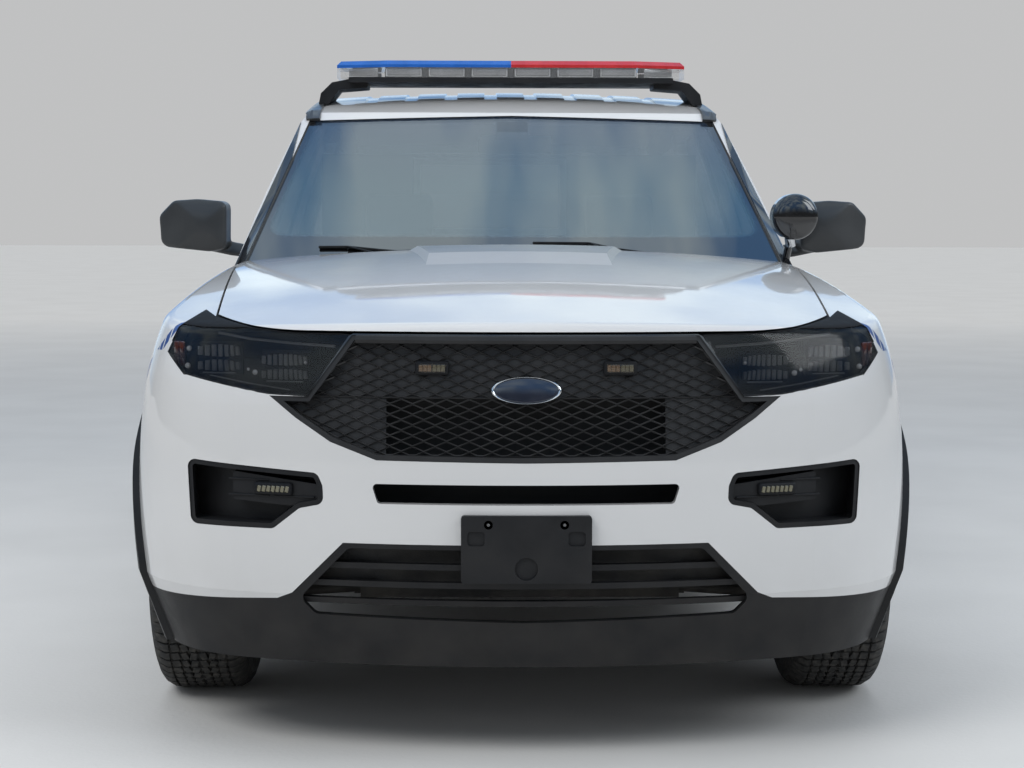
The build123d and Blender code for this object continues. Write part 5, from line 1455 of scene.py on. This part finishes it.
class PATROL_OT_wheel_details(bpy.types.Operator):
    """Model hub caps, lug nuts and valves."""

    bl_idname = "patrol.wheel_details"
    bl_label = "Wheel details"
    bl_options = {"REGISTER", "UNDO"}

    def execute(self, context):
        make_wheel_details(context.scene.patrol_wheels.lug_nuts)
        return {"FINISHED"}


class PATROL_OT_grille(bpy.types.Operator):
    """Model the curved grille mesh, its lip, badge and warning lamps."""

    bl_idname = "patrol.grille"
    bl_label = "Grille"
    bl_options = {"REGISTER", "UNDO"}

    def execute(self, context):
        settings = context.scene.patrol_grille
        make_grille(settings.bar, settings.badge_half)
        return {"FINISHED"}


class PATROL_OT_headlamps(bpy.types.Operator):
    """Model the headlamps' lenses and what shows through them."""

    bl_idname = "patrol.headlamps"
    bl_label = "Headlamps"
    bl_options = {"REGISTER", "UNDO"}

    def execute(self, context):
        make_headlamps()
        return {"FINISHED"}


class PATROL_OT_light_bar(bpy.types.Operator):
    """Model the lamp modules inside the roof light bar."""

    bl_idname = "patrol.light_bar"
    bl_label = "Light bar"
    bl_options = {"REGISTER", "UNDO"}

    def execute(self, context):
        make_light_bar()
        return {"FINISHED"}


class PATROL_OT_front_trim(bpy.types.Operator):
    """Model the front's small fittings."""

    bl_idname = "patrol.front_trim"
    bl_label = "Front trim"
    bl_options = {"REGISTER", "UNDO"}

    def execute(self, context):
        make_front_trim()
        return {"FINISHED"}


class PATROL_OT_side_trim(bpy.types.Operator):
    """Model handles, mouldings, door mirrors and the fuel flap."""

    bl_idname = "patrol.side_trim"
    bl_label = "Side trim"
    bl_options = {"REGISTER", "UNDO"}

    def execute(self, context):
        make_side_trim()
        return {"FINISHED"}


class PATROL_OT_rear_trim(bpy.types.Operator):
    """Model the liftgate's fittings."""

    bl_idname = "patrol.rear_trim"
    bl_label = "Rear trim"
    bl_options = {"REGISTER", "UNDO"}

    def execute(self, context):
        make_rear_trim()
        return {"FINISHED"}


class PATROL_OT_wipers(bpy.types.Operator):
    """Model the windscreen wipers."""

    bl_idname = "patrol.wipers"
    bl_label = "Wipers"
    bl_options = {"REGISTER", "UNDO"}

    def execute(self, context):
        make_wipers()
        return {"FINISHED"}


class PATROL_OT_cabin(bpy.types.Operator):
    """Model what shows in the cabin."""

    bl_idname = "patrol.cabin"
    bl_label = "Cabin"
    bl_options = {"REGISTER", "UNDO"}

    def execute(self, context):
        make_cabin()
        return {"FINISHED"}


class PATROL_OT_seats(bpy.types.Operator):
    """Model and inflate the padded seats."""

    bl_idname = "patrol.seats"
    bl_label = "Seats"
    bl_options = {"REGISTER", "UNDO"}

    def execute(self, context):
        make_seats()
        return {"FINISHED"}


class PATROL_OT_stage(bpy.types.Operator):
    """Set up the floor, lamps, sky and camera."""

    bl_idname = "patrol.stage"
    bl_label = "Studio"
    bl_options = {"REGISTER", "UNDO"}

    def execute(self, context):
        settings = context.scene.patrol_studio
        make_stage(settings.key_power, settings.sky_strength)
        return {"FINISHED"}


OPERATORS = (
    PATROL_OT_finishes,
    PATROL_OT_tyres,
    PATROL_OT_wheel_details,
    PATROL_OT_grille,
    PATROL_OT_headlamps,
    PATROL_OT_light_bar,
    PATROL_OT_front_trim,
    PATROL_OT_side_trim,
    PATROL_OT_rear_trim,
    PATROL_OT_wipers,
    PATROL_OT_cabin,
    PATROL_OT_seats,
    PATROL_OT_stage,
)


class PATROL_PT_panel(bpy.types.Panel):
    bl_label = "Patrol car"
    bl_idname = "PATROL_PT_panel"
    bl_space_type = "VIEW_3D"
    bl_region_type = "UI"
    bl_category = "Patrol car"

    def draw(self, context):
        for group, kind in GROUPS:
            for name in kind.__annotations__:
                self.layout.prop(getattr(context.scene, group), name)
        for operator in OPERATORS:
            self.layout.operator(operator.bl_idname)


CLASSES = tuple(kind for group, kind in GROUPS) + OPERATORS + (PATROL_PT_panel,)


def register():
    for kind in CLASSES:
        bpy.utils.register_class(kind)
    for group, kind in GROUPS:
        setattr(bpy.types.Scene, group, bpy.props.PointerProperty(type=kind))


def unregister():
    for group, kind in GROUPS:
        delattr(bpy.types.Scene, group)
    for kind in reversed(CLASSES):
        bpy.utils.unregister_class(kind)


def main():
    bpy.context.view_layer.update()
    register()
    bpy.ops.patrol.finishes()
    bpy.ops.patrol.tyres()
    bpy.ops.patrol.wheel_details()
    bpy.ops.patrol.grille()
    bpy.ops.patrol.headlamps()
    bpy.ops.patrol.light_bar()
    bpy.ops.patrol.front_trim()
    bpy.ops.patrol.side_trim()
    bpy.ops.patrol.rear_trim()
    bpy.ops.patrol.wipers()
    bpy.ops.patrol.cabin()
    bpy.ops.patrol.seats()
    bpy.ops.patrol.stage()


if __name__ == "__main__":
    main()
